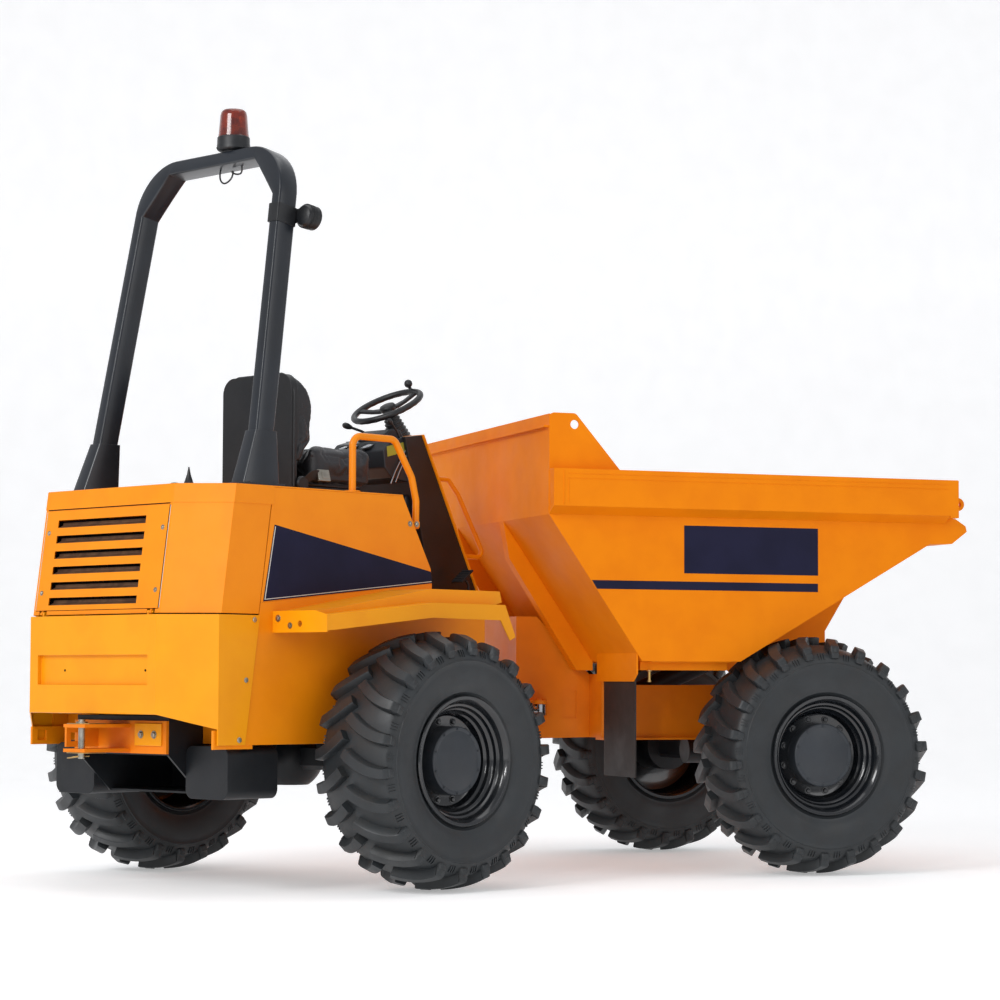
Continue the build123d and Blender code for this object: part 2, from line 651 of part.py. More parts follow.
def engine_cover():
    """Hinged rear cover up to the deck: leaning face with the grille opening, chamfers and sides, open in front."""
    wrap = raked_wrap(cover_seam_top_x, belt_z + lid_gap, deck_z)
    ahead = outline(
        (seam_x(belt_z) - lid_gap, belt_z - 10), (seam_x(deck_z + 10) - lid_gap, deck_z + 10),
        (cover_seam_top_x + 50, deck_z + 10), (cover_seam_top_x + 50, belt_z - 10),
    )
    wrap -= slab_xz(ahead, -700, 700) + grille_place() * Box(60, grille_size[0] - 40, grille_size[1] - 28)
    x, z = cover_hinge
    lug = outline((x - 8, z), (x + 8, z), (x + 16, z + 45), (x + 5, z + 45), (x + 1, z + 16)) + Pos(x, z) * Circle(8)
    wrap -= both_sides(box(x - 30, x + 30, 330, 380, belt_z, z + 14))
    return wrap + both_sides(slab_xz(lug - Pos(x, z) * Circle(cover_pin_radius + pin_gap), 352, 364))


def grille_place():
    """Middle of the grille on the leaning rear face, +X square to the face and into the body."""
    z = (belt_z + band_z) / 2
    lean = degrees(atan2(cover_lean, band_z - belt_z))
    return Pos(cover_back_x + cover_lean / 2, 0, z) * Rot(0, lean, 0)


def louvre_panel():
    """Screwed-on grille plate with six slots, each under a pressed hood that slopes in and up."""
    width, height = louvre_size
    panel = Pos(-2, 0, 0) * Box(3.4, *grille_size)
    for slot in range(louvre_count):
        z = (slot - (louvre_count - 1) / 2) * louvre_pitch
        panel -= Pos(-2, louvre_middle_y, z) * Box(10, width, height)
        panel += Pos(8, louvre_middle_y, z + height / 2 - 4.5) * Rot(0, 35, 0) * Box(26, width - 2, 2.4)
    return grille_place() * panel


def rear_deck():
    """Deck that carries the roll bar and the seat, clear of the cover round its rear half."""
    shift = cover_lean * (deck_z - belt_z) / (band_z - belt_z)
    corner_x, back_x = cover_corner_x + shift, cover_back_x + shift
    plan = wrap_plan(cover_seam_top_x, corner_x, back_x, body_half_width, cover_face_half, body_sheet + lid_gap)
    front_x = cover_seam_top_x
    plan += Pos((front_x + cowl_front_x) / 2, 0) * Rectangle(cowl_front_x - front_x, 2 * body_half_width)
    return slab_xy(plan, deck_z - body_sheet, deck_z)


def side_cowls():
    """Cowls beside the engine: raked front edge, lower edge rising forward."""
    side = outline(
        (cover_front_x, cowl_back_z), (seam_x(deck_z - body_sheet), deck_z - body_sheet - seat_gap),
        (cowl_front_x, deck_z - body_sheet - seat_gap), cowl_knee, cowl_foot,
    )
    return both_sides(slab_xz(side, body_half_width - body_sheet, body_half_width))


def side_panels():
    """Lower sides from the bumper's wings to the front of the floor, with the bulkheads that tie them to the rails."""
    g = seat_gap
    side = outline(
        (seam_x(side_bottom_z) - bumper_lap, side_bottom_z), (seam_x(belt_z) - bumper_lap, belt_z),
        (seam_x(belt_z), belt_z), (seam_x(cowl_back_z), cowl_back_z - g), (cowl_foot[0], cowl_foot[1] - g), (cowl_foot[0], floor_z - body_sheet - g),
        (side_front_x, floor_z - body_sheet - g), (side_front_x, 900), (side_front_x - 120, side_bottom_z),
    )
    y = body_half_width - body_sheet
    panels = both_sides(slab_xz(side, y, body_half_width))
    top = floor_z - body_sheet - g
    panels += box(cowl_front_x + 12, cowl_front_x + 20, -y, y, rail_top_z, top)
    front_bulkhead = box(side_front_x - 12, side_front_x - 4, -y, y, rail_top_z, top)
    panels += front_bulkhead - box(side_front_x - 13, side_front_x - 3, -440, 440, rail_top_z - 1, nose_top_z + 20)
    back = box(-1970, -1962, rail_y + g, y, side_bottom_z, rail_top_z)
    return panels + both_sides(back) + both_sides(lashing_plate())


def lashing_plate():
    """Tie-down plate under each rear corner: a foot along the side panel and a square eye behind the bumper's wing."""
    y = body_half_width - body_sheet
    plate = box(-2170, -1962, y - 12, y, 590, side_bottom_z + 60)
    return plate - box(-2140, -2095, y - 13, y + 1, 608, 650)


def floor_plate():
    """Operator's floor with the riser under the seat and a kick edge at the front."""
    g = seat_gap
    y = body_half_width - body_sheet - g
    plan = outline(
        (cowl_front_x, -y), (side_front_x, -y), (floor_front_x, -console_half - 20), (floor_front_x, console_half + 20),
        (side_front_x, y), (cowl_front_x, y),
    )
    plate = slab_xy(plan, floor_z - body_sheet, floor_z)
    return plate + box(cowl_front_x - 6, cowl_front_x, -y, y, floor_z - body_sheet, deck_z - body_sheet - g)


def fenders():
    """Footplates over the rear wheels: deck with a step down to an outer rail that turns down in front."""
    t, y0, y1, y2 = 5, body_half_width + seat_gap, 862, 930
    deck = [(-1864, 1148), (-1790, 1153), (-1215, floor_z), (-795, floor_z)]
    shelf = [(-1864, 1130), (-1790, 1138), (-1270, 1190), (-832, 1190)]
    fender = slab_xz(bent_sheet(t, *reversed(deck)), y0, y1)
    fender += slab_xz(outline(*deck, (-783, 1203), *reversed(shelf)), y1 - t, y1)
    fender += slab_xz(bent_sheet(t, *reversed(shelf)), y1 - t, y2)
    rail = outline(*shelf, (-767, 1054), (-802, 1039), (-860, 1124), (-1270, 1128), (-1815, 1070), (-1864, 1066))
    fender += slab_xz(rail, y2 - t, y2)
    tail = outline((y0, 1060), (y2, 1060), (y2, 1130), (y1, 1148), (y0, 1148)) - Pos(770, 1095) * Circle(13)
    fender += slab_yz(tail, -1866, -1860)
    return both_sides(fender)


# ---- operator's station ------------------------------------------------------------------------


def rops_x(z):
    return rops_back_x + rops_lean * (z - rops_foot_z)


def rops_hoop():
    """Leaning rectangular-tube hoop, drawn in upwards, with cut corners and long gusseted feet."""
    depth, width = rops_leg
    scale = hypot(1, rops_lean)

    def hoop(inset):
        low, bend, top = 120 * scale, (rops_bend_z - deck_z) * scale, (rops_top_z - deck_z) * scale - inset
        y_low = rops_half_width - inset + rops_taper * 100
        y_bend = rops_half_width - inset - rops_taper * (rops_bend_z - rops_foot_z)
        y_top = rops_corner_y - inset * 0.4
        half = [(y_low, low), (y_bend, bend), (y_top, top)]
        face = outline(*half, *[(-y, z) for y, z in reversed(half)])
        return fillet(face.vertices().sort_by(Axis.Y)[2:], rops_corner_radius - inset)

    frame = hoop(0) - hoop(width)
    return rops_place() * slab_yz(frame, 0, depth) + both_sides(rops_foot())


def rops_place():
    """Middle of the hoop's rear face where it would meet the deck, leaning with the hoop."""
    return Pos(rops_x(deck_z), 0, deck_z) * Rot(0, degrees(atan2(rops_lean, 1)), 0)


def rops_foot():
    """Tapered box foot: long on the deck, closing to the leg's own section."""
    x = rops_x(deck_z)
    half = rops_half_width + rops_taper * (rops_foot_z - deck_z)
    base = Plane.XY.offset(deck_z + seat_gap) * Pos(x + 15 + 55, half - 40) * Rectangle(220, 86)
    z = deck_z + 120
    head = Plane.XY.offset(z) * Pos(rops_x(z) + 52, half - 34) * Rectangle(128, 74)
    foot = loft([base, head], ruled=True)
    plate = Pos(x + 70, half - 40, deck_z + seat_gap) * Box(250, 110, 10, align=(Align.CENTER, Align.CENTER, Align.MIN))
    return foot + plate


def beacon():
    """Amber lens on its black base, on the top bar a little right of the middle."""
    x = rops_x(rops_top_z) + rops_leg[0] / 2
    up = (Align.CENTER, Align.CENTER, Align.MIN)
    base = Pos(x, beacon_y, rops_top_z - 30) * Cylinder(50, 40, align=up) + Pos(x, beacon_y, rops_top_z + 8) * Cylinder(64, 36, align=up)
    below = (rops_top_z - deck_z) * hypot(1, rops_lean) + seat_gap
    base -= rops_place() * box(-200, 300, -300, 100, below - 300, below)
    lens = Pos(x, beacon_y, rops_top_z + 44 + seat_gap) * Cone(52, 42, 150, align=up)
    return base, lens


def work_lamp():
    """Round lamp on a bracket at the right-hand leg, facing forward."""
    y = -(rops_half_width - rops_taper * (work_lamp_z - rops_foot_z)) + 20
    place = rops_place() * Pos(rops_leg[0] + seat_gap, y, (work_lamp_z - deck_z) * hypot(1, rops_lean))
    bracket = box(0, 6, -60, 30, -30, 30) + box(0, 60, -66, -60, -20, 20)
    lamp = Pos(56, -104, 0) * Rot(0, 90, 0) * Cylinder(40, 76)
    return place * (bracket + lamp)


def grab_rails():
    """Bent tube rail at the step-up side, its front leg bowed forward, and a handle on the front of the console."""
    y = body_half_width - 32
    path = FilletPolyline(
        (-1395, -y, deck_z + seat_gap), (-1395, -y, 1898), (-1150, -y, 1898), (-1045, -y, 1740), (-1018, -y, 1640), (-1020, -y, 1520),
        radius=45,
    )
    tube = sweep(Plane(path @ 0, z_dir=path % 0) * Circle(rail_radius), path=path)
    lug = box(-1105, -1020, body_sheet - body_half_width, -y, 1525, 1550)
    return tube + lug + front_handle()


def front_handle():
    path = FilletPolyline((-530, 0, 1790), (-365, 0, 1790), (-300, 0, 1725), (-120, 0, 1440), (-360, 0, 1440), radius=28)
    tube = sweep(Plane(path @ 0, z_dir=path % 0) * Circle(rail_radius - 4), path=path)
    behind = bent_sheet(console_sheet, *console_face, side=Side.RIGHT) + bent_sheet(80, *console_face)
    return Pos(0, -120, 0) * tube - Pos(seat_gap, 0, 0) * slab_xz(behind, -console_half, console_half)


def console():
    """Leaning console: black housing and dash."""
    return slab_xz(outline((-540, floor_z + seat_gap), (-715, 1960), *reversed(console_face)), -console_half, console_half)


def console_front():
    """Painted plate on the console's front, a little wider than the housing."""
    plate = slab_xz(bent_sheet(console_sheet, *console_face, side=Side.RIGHT), -console_half - 10, console_half + 10)
    return Pos(seat_gap, 0, 0) * plate


def steering_column():
    x, z = steering_wheel_centre
    place = Pos(x, 0, z) * Rot(0, -steering_wheel_tilt, 0)
    column = place * Pos(0, 0, -240) * Cylinder(19, 215, align=(Align.CENTER, Align.CENTER, Align.MIN))
    boot = place * Pos(0, 0, -215) * Cone(62, 34, 150, align=(Align.CENTER, Align.CENTER, Align.MIN))
    return column + boot - console() - console_front()


def steering_wheel():
    """Faceted rim, three spokes, hub and spinner knob."""
    corners = [(steering_wheel_radius * cos(2 * pi * k / 24), steering_wheel_radius * sin(2 * pi * k / 24)) for k in range(24)]
    ring = Polyline(*corners, close=True)
    rim_part = sweep(Plane((steering_wheel_radius, 0, 0), x_dir=(1, 0, 0), z_dir=(0, 1, 0)) * RegularPolygon(14, 8), path=ring, transition=Transition.RIGHT)
    hub = Pos(0, 0, -24) * Cylinder(34, 30, align=(Align.CENTER, Align.CENTER, Align.MIN))
    wheel = rim_part + hub
    for angle in steering_wheel_spokes:
        wheel += Rot(0, 0, angle) * Pos(steering_wheel_radius / 2, 0, -8) * Box(steering_wheel_radius, 22, 8)
    wheel += Rot(0, 0, -5) * Pos(steering_wheel_radius, 0, 8) * Cylinder(16, 46, align=(Align.CENTER, Align.CENTER, Align.MIN))
    x, z = steering_wheel_centre
    return Pos(x, 0, z) * Rot(0, -steering_wheel_tilt, 0) * wheel


def arch(half, low, high, radius):
    """Upright oblong with its two upper corners rounded."""
    face = Pos(0, (low + high) / 2) * Rectangle(2 * half, high - low)
    return fillet(face.vertices().sort_by(Axis.Y)[-2:], radius)


def seat():
    """Mount, base cushion, back cushion and the shell behind it."""
    g = seat_gap
    x = seat_back_x
    mount = box(x + 60, x + 400, -190, 190, deck_z + g, deck_z + 70)
    base = box(x + 130, x + 485, -230, 230, deck_z + 70 + g, 1865)
    base = fillet(base.edges().filter_by(Axis.Z) + base.faces().sort_by(Axis.Z)[-1].edges(), 34)
    shell = slab_yz(arch(225, 1664, 2190, 70), x, x + 36)
    shell += box(x + 30, x + 70, -180, 180, deck_z + g, deck_z + 100)
    side = Polyline((36 + g, 1812), (104, 1806)) + Spline((104, 1806), (126, 1850), (120, 1960), (84, 2110), (40, 2198))
    cushion = slab_xz(Pos(x, 0) * make_face(side + Line((40, 2198), (36 + g, 2190)) + Line((36 + g, 2190), (36 + g, 1812))), -215, 215)
    cushion &= slab_yz(arch(215, 1800, 2198, 90), x, x + 200)
    return mount + shell, base, cushion


# ---- nodes -------------------------------------------------------------------------------------

front_place = Pos(*origin_shift, 0)
rear_place = front_place * Rot(0, 0, steer_angle)


def build_nodes():
    """Each node's name, solid and placing."""
    tip_barrel, tip_rod = tip_ram()
    steer_barrel, steer_rod = steer_ram()
    beacon_base, beacon_lens = beacon()
    seat_frame, base, cushion = seat()
    front = {
        "front_chassis": front_chassis(), "kingpin": kingpin(), "skip_hinge_pin": skip_hinge_pin(),
        "front_axle": Pos(front_axle_x, 0, tyre_radius) * axle(),
        "tip_ram_pin": rod_y(*tip_ram_base, ram_pin_radius, -70, 70),
        "skip_shell": skip_shell(), "skip_rim": skip_rim(), "skip_underframe": skip_underframe(), "mudflaps": mudflaps(),
        "tip_ram_barrel": tip_barrel, "tip_ram_rod": tip_rod, "steer_ram_barrel": steer_barrel, "steer_ram_rod": steer_rod,
    }
    rear = {
        "rear_chassis": rear_chassis(), "pivot_carrier": pivot_carrier(), "engine": engine(), "belly_tanks": belly_tank(),
        "rear_axle": Pos(rear_axle_x, 0, tyre_radius) * Rot(0, 0, 180) * axle(),
        "steer_ram_pin": Pos(*steer_ram_base, steer_ram_z) * Cylinder(ram_pin_radius, 100),
        "tow_hitch": tow_hitch(), "tow_pin": tow_pin(),
        "bumper": bumper(), "engine_cover": engine_cover(), "louvre_panel": louvre_panel(), "rear_deck": rear_deck(),
        "side_cowls": side_cowls(), "side_panels": side_panels(), "floor_plate": floor_plate(), "fenders": fenders(),
        "rops_hoop": rops_hoop(), "beacon_base": beacon_base, "beacon_lens": beacon_lens,
        "work_lamp": work_lamp(), "grab_rails": grab_rails(),
        "console": console(), "console_front": console_front(), "steering_column": steering_column(),
        "steering_wheel": steering_wheel(), "seat_frame": seat_frame, "seat_base": base, "seat_back": cushion,
    }
    wheel = tyre()
    for side, hand in ((1, "left"), (-1, "right")):
        for end, x, nodes in (("front", front_axle_x, front), ("rear", rear_axle_x, rear)):
            place = Pos(x, side * wheel_centre_y, tyre_radius)
            nodes[f"tyre_{end}_{hand}"] = place * wheel
            nodes[f"rim_{end}_{hand}"] = place * rim(side)
    placed = {name: front_place * part for name, part in front.items()}
    placed.update({name: rear_place * part for name, part in rear.items()})
    return placed


if __name__ == "__main__":
    os.makedirs("parts", exist_ok=True)
    for name, part in build_nodes().items():
        export_step(part, f"parts/{name}.step")
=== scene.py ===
import json
import math

import bmesh
import bpy
from mathutils import Matrix, Vector

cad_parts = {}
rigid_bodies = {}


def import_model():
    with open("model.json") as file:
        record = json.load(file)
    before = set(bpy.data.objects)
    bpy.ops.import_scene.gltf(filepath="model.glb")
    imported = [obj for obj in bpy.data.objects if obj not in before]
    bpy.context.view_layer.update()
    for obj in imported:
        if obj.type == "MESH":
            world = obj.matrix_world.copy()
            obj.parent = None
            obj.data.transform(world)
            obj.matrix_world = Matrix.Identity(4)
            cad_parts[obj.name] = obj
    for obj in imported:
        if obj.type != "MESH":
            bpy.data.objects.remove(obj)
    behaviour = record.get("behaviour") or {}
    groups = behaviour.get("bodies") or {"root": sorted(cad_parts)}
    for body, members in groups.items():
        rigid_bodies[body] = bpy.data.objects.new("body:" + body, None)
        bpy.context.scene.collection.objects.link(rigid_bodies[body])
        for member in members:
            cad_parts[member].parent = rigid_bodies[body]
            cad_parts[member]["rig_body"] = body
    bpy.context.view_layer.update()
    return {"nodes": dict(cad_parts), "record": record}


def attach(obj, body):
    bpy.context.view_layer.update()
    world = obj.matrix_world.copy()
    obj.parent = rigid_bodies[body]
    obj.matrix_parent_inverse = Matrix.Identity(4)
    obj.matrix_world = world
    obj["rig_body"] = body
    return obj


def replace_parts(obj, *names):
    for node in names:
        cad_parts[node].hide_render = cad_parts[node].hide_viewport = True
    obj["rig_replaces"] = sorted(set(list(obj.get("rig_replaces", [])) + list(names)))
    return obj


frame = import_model()
print("frame loaded,", len(frame["nodes"]), "nodes")

# Both halves are drawn straight ahead about the steering pivot, then put in place.
layout = {"pivot": (0.1035, 0.325), "lock": 26.5, "frontAxle": 1.26, "rearAxle": -1.22, "track": 0.895,
          "tyreRadius": 0.5375}
frontPlace = Matrix.Translation((*layout["pivot"], 0))
rearPlace = frontPlace @ Matrix.Rotation(math.radians(layout["lock"]), 4, "Z")
still = Matrix.Identity(4)
upward, rearward = (0, 0, 1), (-1, 0, 0)


def linear(red, green, blue):
    # screen values 0-255 to the shader's linear light
    shares = [v / 255 for v in (red, green, blue)]
    return (*[v / 12.92 if v < 11 / 255 else ((v + 0.055) / 1.055) ** 2.4 for v in shares], 1)


# shader groups
def newGroup(name, inputs, outputs):
    tree = bpy.data.node_groups.new(name, "ShaderNodeTree")
    for label, kind, value in inputs:
        socket = tree.interface.new_socket(label, in_out="INPUT", socket_type="NodeSocket" + kind)
        socket.default_value = value
    for label, kind in outputs:
        tree.interface.new_socket(label, in_out="OUTPUT", socket_type="NodeSocket" + kind)
    return tree, tree.nodes.new("NodeGroupInput"), tree.nodes.new("NodeGroupOutput")


def noiseIn(tree, scale, detail=3.0, roughness=0.55):
    coords = tree.nodes.new("ShaderNodeTexCoord")
    noise = tree.nodes.new("ShaderNodeTexNoise")
    tree.links.new(coords.outputs["Object"], noise.inputs["Vector"])
    if isinstance(scale, (int, float)):
        noise.inputs["Scale"].default_value = scale
    else:
        tree.links.new(scale, noise.inputs["Scale"])
    noise.inputs["Detail"].default_value = detail
    noise.inputs["Roughness"].default_value = roughness
    return noise.outputs["Fac"]


def ramp(tree, value, low, high, to=(0, 1)):
    fit = tree.nodes.new("ShaderNodeMapRange")
    fit.interpolation_type = "SMOOTHSTEP"
    tree.links.new(value, fit.inputs["Value"])
    for label, number in (("From Min", low), ("From Max", high), ("To Min", to[0]), ("To Max", to[1])):
        fit.inputs[label].default_value = number
    return fit.outputs["Result"]


def calc(tree, how, a, b):
    node = tree.nodes.new("ShaderNodeMath")
    node.operation = how
    for socket, value in zip(node.inputs, (a, b)):
        if isinstance(value, (int, float)):
            socket.default_value = value
        else:
            tree.links.new(value, socket)
    return node.outputs["Value"]


def blendColour(tree, amount, a, b):
    mix = tree.nodes.new("ShaderNodeMix")
    mix.data_type = "RGBA"
    tree.links.new(amount, mix.inputs["Factor"])
    for socket, value in ((mix.inputs[6], a), (mix.inputs[7], b)):
        if isinstance(value, tuple):
            socket.default_value = value
        else:
            tree.links.new(value, socket)
    return mix.outputs[2]


def makeMottle():
    # broad, faint clouding between two shades of one colour
    tree, given, made = newGroup("mottle", [("Colour", "Color", (1, 1, 1, 1)),
                                            ("Second", "Color", (1, 1, 1, 1)), ("Size", "Float", 6.0)],
                                 [("Colour", "Color")])
    cloud = ramp(tree, noiseIn(tree, given.outputs["Size"], 4), 0.35, 0.68)
    tree.links.new(blendColour(tree, cloud, given.outputs["Colour"], given.outputs["Second"]),
                   made.inputs["Colour"])
    return tree


def makeDust():
    # pale dust that settles on upward faces, patchy
    tree, given, made = newGroup("dustFall", [("Colour", "Color", (1, 1, 1, 1)),
                                              ("Dust", "Color", (0.35, 0.3, 0.24, 1)),
                                              ("Amount", "Float", 0.2)],
                                 [("Colour", "Color"), ("Mask", "Float")])
    facing = tree.nodes.new("ShaderNodeNewGeometry")
    split = tree.nodes.new("ShaderNodeSeparateXYZ")
    tree.links.new(facing.outputs["Normal"], split.inputs["Vector"])
    up = ramp(tree, split.outputs["Z"], -0.2, 1.0, (0.25, 1))
    patch = ramp(tree, noiseIn(tree, 9, 6, 0.65), 0.38, 0.7)
    speck = ramp(tree, noiseIn(tree, 160, 2), 0.3, 0.75, (0.55, 1))
    mask = calc(tree, "MULTIPLY", calc(tree, "MULTIPLY", up, patch),
                calc(tree, "MULTIPLY", speck, given.outputs["Amount"]))
    tree.links.new(blendColour(tree, mask, given.outputs["Colour"], given.outputs["Dust"]),
                   made.inputs["Colour"])
    tree.links.new(mask, made.inputs["Mask"])
    return tree


def makeGrain():
    # roughness that drifts about its middle, and a fine relief in the normal
    tree, given, made = newGroup("fineGrain", [("Roughness", "Float", 0.4), ("Spread", "Float", 0.1),
                                               ("Grain Size", "Float", 300.0), ("Depth", "Float", 0.1)],
                                 [("Roughness", "Float"), ("Normal", "Vector")])
    smear = ramp(tree, noiseIn(tree, 7, 5, 0.6), 0.3, 0.7, (-1, 1))
    drift = calc(tree, "MULTIPLY", smear, given.outputs["Spread"])
    rough = calc(tree, "ADD", given.outputs["Roughness"], drift)
    tree.links.new(rough, made.inputs["Roughness"])
    bump = tree.nodes.new("ShaderNodeBump")
    bump.inputs["Distance"].default_value = 0.001
    tree.links.new(given.outputs["Depth"], bump.inputs["Strength"])
    tree.links.new(noiseIn(tree, given.outputs["Grain Size"], 2), bump.inputs["Height"])
    tree.links.new(bump.outputs["Normal"], made.inputs["Normal"])
    return tree


groups = {"mottle": makeMottle(), "dust": makeDust(), "grain": makeGrain()}


def useGroup(material, key, **values):
    node = material.node_tree.nodes.new("ShaderNodeGroup")
    node.node_tree = groups[key]
    for label, value in values.items():
        socket = node.inputs[label.replace("_", " ")]
        if isinstance(value, bpy.types.NodeSocket):
            material.node_tree.links.new(value, socket)
        else:
            socket.default_value = value
    return node


def surface(name, colour, second=None, patch=5.0, roughness=0.4, spread=0.06, grain=350.0, depth=0.1,
            dust=0.0, metallic=0.0, coat=0.0, coatRoughness=0.12, **extra):
    material = bpy.data.materials.new(name)
    material.use_nodes = True
    shader = material.node_tree.nodes["Principled BSDF"]
    link = material.node_tree.links.new
    tint = useGroup(material, "mottle", Colour=colour, Second=second or colour, Size=patch).outputs["Colour"]
    if dust:
        tint = useGroup(material, "dust", Colour=tint, Amount=dust).outputs["Colour"]
    finish = useGroup(material, "grain", Roughness=roughness, Spread=spread, Grain_Size=grain, Depth=depth)
    link(tint, shader.inputs["Base Color"])
    link(finish.outputs["Roughness"], shader.inputs["Roughness"])
    link(finish.outputs["Normal"], shader.inputs["Normal"])
    shader.inputs["Metallic"].default_value = metallic
    shader.inputs["Coat Weight"].default_value = coat
    shader.inputs["Coat Roughness"].default_value = coatRoughness
    for label, value in extra.items():
        shader.inputs[label.replace("_", " ")].default_value = value
    return material


bodyPaint = surface("bodyPaint", linear(238, 139, 8), linear(233, 133, 8), roughness=0.4, depth=0.04,
                    coat=0.12, coatRoughness=0.16, Specular_IOR_Level=0.2)
# darker, redder copy of the body paint: painted shade on the skip, its fold lines and weld beads
shadedSkipPaint = surface("shadedSkipPaint", linear(234, 131, 8), linear(228, 124, 8), roughness=0.5, depth=0.05,
                    Specular_IOR_Level=0.08)
# lighter, yellower copy of the body paint: painted light on the bumper, the fenders and the hitch bracket
litBodyPaint = surface("litBodyPaint", linear(236, 152, 8), linear(232, 146, 8), roughness=0.4, depth=0.04,
                      coat=0.12, coatRoughness=0.16, Specular_IOR_Level=0.2)
chassisPaint = surface("chassisPaint", linear(230, 126, 10), linear(220, 117, 10), roughness=0.48, depth=0.08,
                       coat=0.06, dust=0.04, Specular_IOR_Level=0.2)
blackPaint = surface("blackPaint", linear(24, 27, 31), linear(18, 21, 25), roughness=0.45, depth=0.15,
                     dust=0.04, Specular_IOR_Level=0.35)
rollBarPaint = surface("rollBarPaint", linear(20, 26, 34), linear(15, 20, 27), roughness=0.32, spread=0.03,
                       grain=90, depth=0.02, coat=0.35, coatRoughness=0.2)
wheelPaint = surface("wheelPaint", linear(20, 23, 27), linear(15, 18, 22), roughness=0.2, spread=0.05,
                     depth=0.03, coat=0.6, coatRoughness=0.08, dust=0.03)
hubPaint = surface("hubPaint", linear(44, 49, 55), linear(36, 41, 47), roughness=0.45, depth=0.1, dust=0.05)
tyreRubber = surface("tyreRubber", linear(36, 40, 43), linear(28, 32, 35), patch=9, roughness=0.5, spread=0.1,
                     grain=260, depth=0.28, dust=0.07)
flapRubber = surface("flapRubber", linear(40, 34, 32), linear(32, 28, 27), roughness=0.55, grain=200,
                     depth=0.2, dust=0.06, Specular_IOR_Level=0.3)
platedSteel = surface("platedSteel", linear(176, 172, 160), linear(150, 146, 136), patch=20, roughness=0.32,
                      metallic=1.0, depth=0.1)
yellowZinc = surface("yellowZinc", linear(206, 168, 96), linear(176, 150, 110), patch=30, roughness=0.35,
                     metallic=0.9, depth=0.1)
brightSteel = surface("brightSteel", linear(196, 198, 202), linear(182, 185, 190), roughness=0.14,
                      metallic=1.0, depth=0.02)
hingeSteel = surface("hingeSteel", linear(120, 122, 126), linear(98, 100, 104), roughness=0.38, metallic=1.0,
                     depth=0.1)
blackPlastic = surface("blackPlastic", linear(20, 22, 26), linear(15, 17, 20), roughness=0.42, grain=500,
                       depth=0.3, dust=0.03)
hoseRubber = surface("hoseRubber", linear(24, 25, 28), linear(19, 20, 22), roughness=0.4, grain=700,
                     depth=0.2)
seatVinyl = surface("seatVinyl", linear(26, 28, 33), linear(20, 22, 26), roughness=0.42, grain=900, depth=0.5,
                    Sheen_Weight=0.08)
shellPlastic = surface("shellPlastic", linear(30, 33, 38), linear(24, 27, 32), roughness=0.4, grain=450,
                       depth=0.2)
amberLens = surface("amberLens", linear(150, 46, 8), linear(112, 22, 4), patch=30, roughness=0.1, depth=0.02,
                    coat=0.7, Transmission_Weight=0.6, Subsurface_Weight=0.08)
lampGlass = surface("lampGlass", linear(226, 230, 234), linear(210, 214, 220), roughness=0.06, depth=0.02,
                    Transmission_Weight=0.6)
navyDecal = surface("navyDecal", linear(26, 26, 52), linear(22, 22, 46), roughness=0.4, depth=0.02,
                    Specular_IOR_Level=0.15)
# pale cream: the painted highlight lines on the grille plate's edges and the pale lines on the cowl wedges
paleEdge = surface("paleEdge", linear(206, 204, 196), linear(196, 194, 186), roughness=0.35, depth=0.02)
castBlock = surface("castBlock", linear(58, 60, 62), linear(44, 46, 48), patch=14, roughness=0.6, grain=160,
                    depth=0.5, dust=0.15)
shadowLine = surface("shadowLine", linear(14, 14, 15), roughness=0.8, depth=0.1, Specular_IOR_Level=0.1)
# brown-grey for the louvre vanes: painted shade inside the slots, in place of their orange paint
shadedVanePaint = surface("shadedVanePaint", linear(104, 76, 56), linear(78, 56, 44), patch=18, roughness=0.6, depth=0.1,
                    Specular_IOR_Level=0.15)
greenStrip = surface("greenStrip", linear(158, 150, 44), linear(148, 138, 38), roughness=0.4, depth=0.05)
slotFinish = {
    "body_paint": bodyPaint, "chassis_paint": chassisPaint, "black_paint": blackPaint,
    "roll_bar_paint": rollBarPaint, "wheel_paint": wheelPaint, "tyre_rubber": tyreRubber,
    "flap_rubber": flapRubber, "plated_steel": platedSteel, "ram_chrome": brightSteel,
    "black_plastic": blackPlastic, "seat_vinyl": seatVinyl, "amber_lens": amberLens,
    "cast_block": castBlock, "hinge_steel": hingeSteel,
}
print("materials made")


# mesh helpers
def setSmooth(bm, angle=32):
    for face in bm.faces:
        face.smooth = True
    for edge in bm.edges:
        edge.smooth = len(edge.link_faces) == 2 and edge.calc_face_angle(0) < math.radians(angle)


def makePiece(bm, name, material, body, place, replaces=(), angle=32, bevel=0.0):
    setSmooth(bm, angle)
    mesh = bpy.data.meshes.new(name)
    bm.transform(place)
    bm.to_mesh(mesh)
    bm.free()
    piece = bpy.data.objects.new(name, mesh)
    bpy.context.scene.collection.objects.link(piece)
    mesh.materials.append(material)
    if bevel:
        softenEdges(piece, bevel)
    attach(piece, body)
    if replaces:
        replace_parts(piece, *replaces)
    return piece


def softenEdges(piece, width, segments=2, angle=30):
    bevel = piece.modifiers.new("edges", "BEVEL")
    bevel.width, bevel.segments = width, segments
    bevel.limit_method, bevel.angle_limit = "ANGLE", math.radians(angle)
    bevel.harden_normals = True
    bevel.use_clamp_overlap = True


def nodeBody(node):
    return frame["nodes"][node]["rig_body"]


def rearPiece(bm, name, material, node, replaces=(), angle=32, bevel=0.0):
    # drawn straight ahead in the rear half, and rides the node's own body
    return makePiece(bm, name, material, nodeBody(node), rearPlace, replaces, angle, bevel)


def dressNode(node, material, bevel=0.002):
    bm = bmesh.new()
    bm.from_mesh(frame["nodes"][node].data)
    bmesh.ops.remove_doubles(bm, verts=bm.verts, dist=2e-5)
    bmesh.ops.dissolve_limit(bm, angle_limit=math.radians(1.0), verts=bm.verts, edges=bm.edges)
    makePiece(bm, node + "_skin", material, nodeBody(node), still, [node], bevel=bevel)


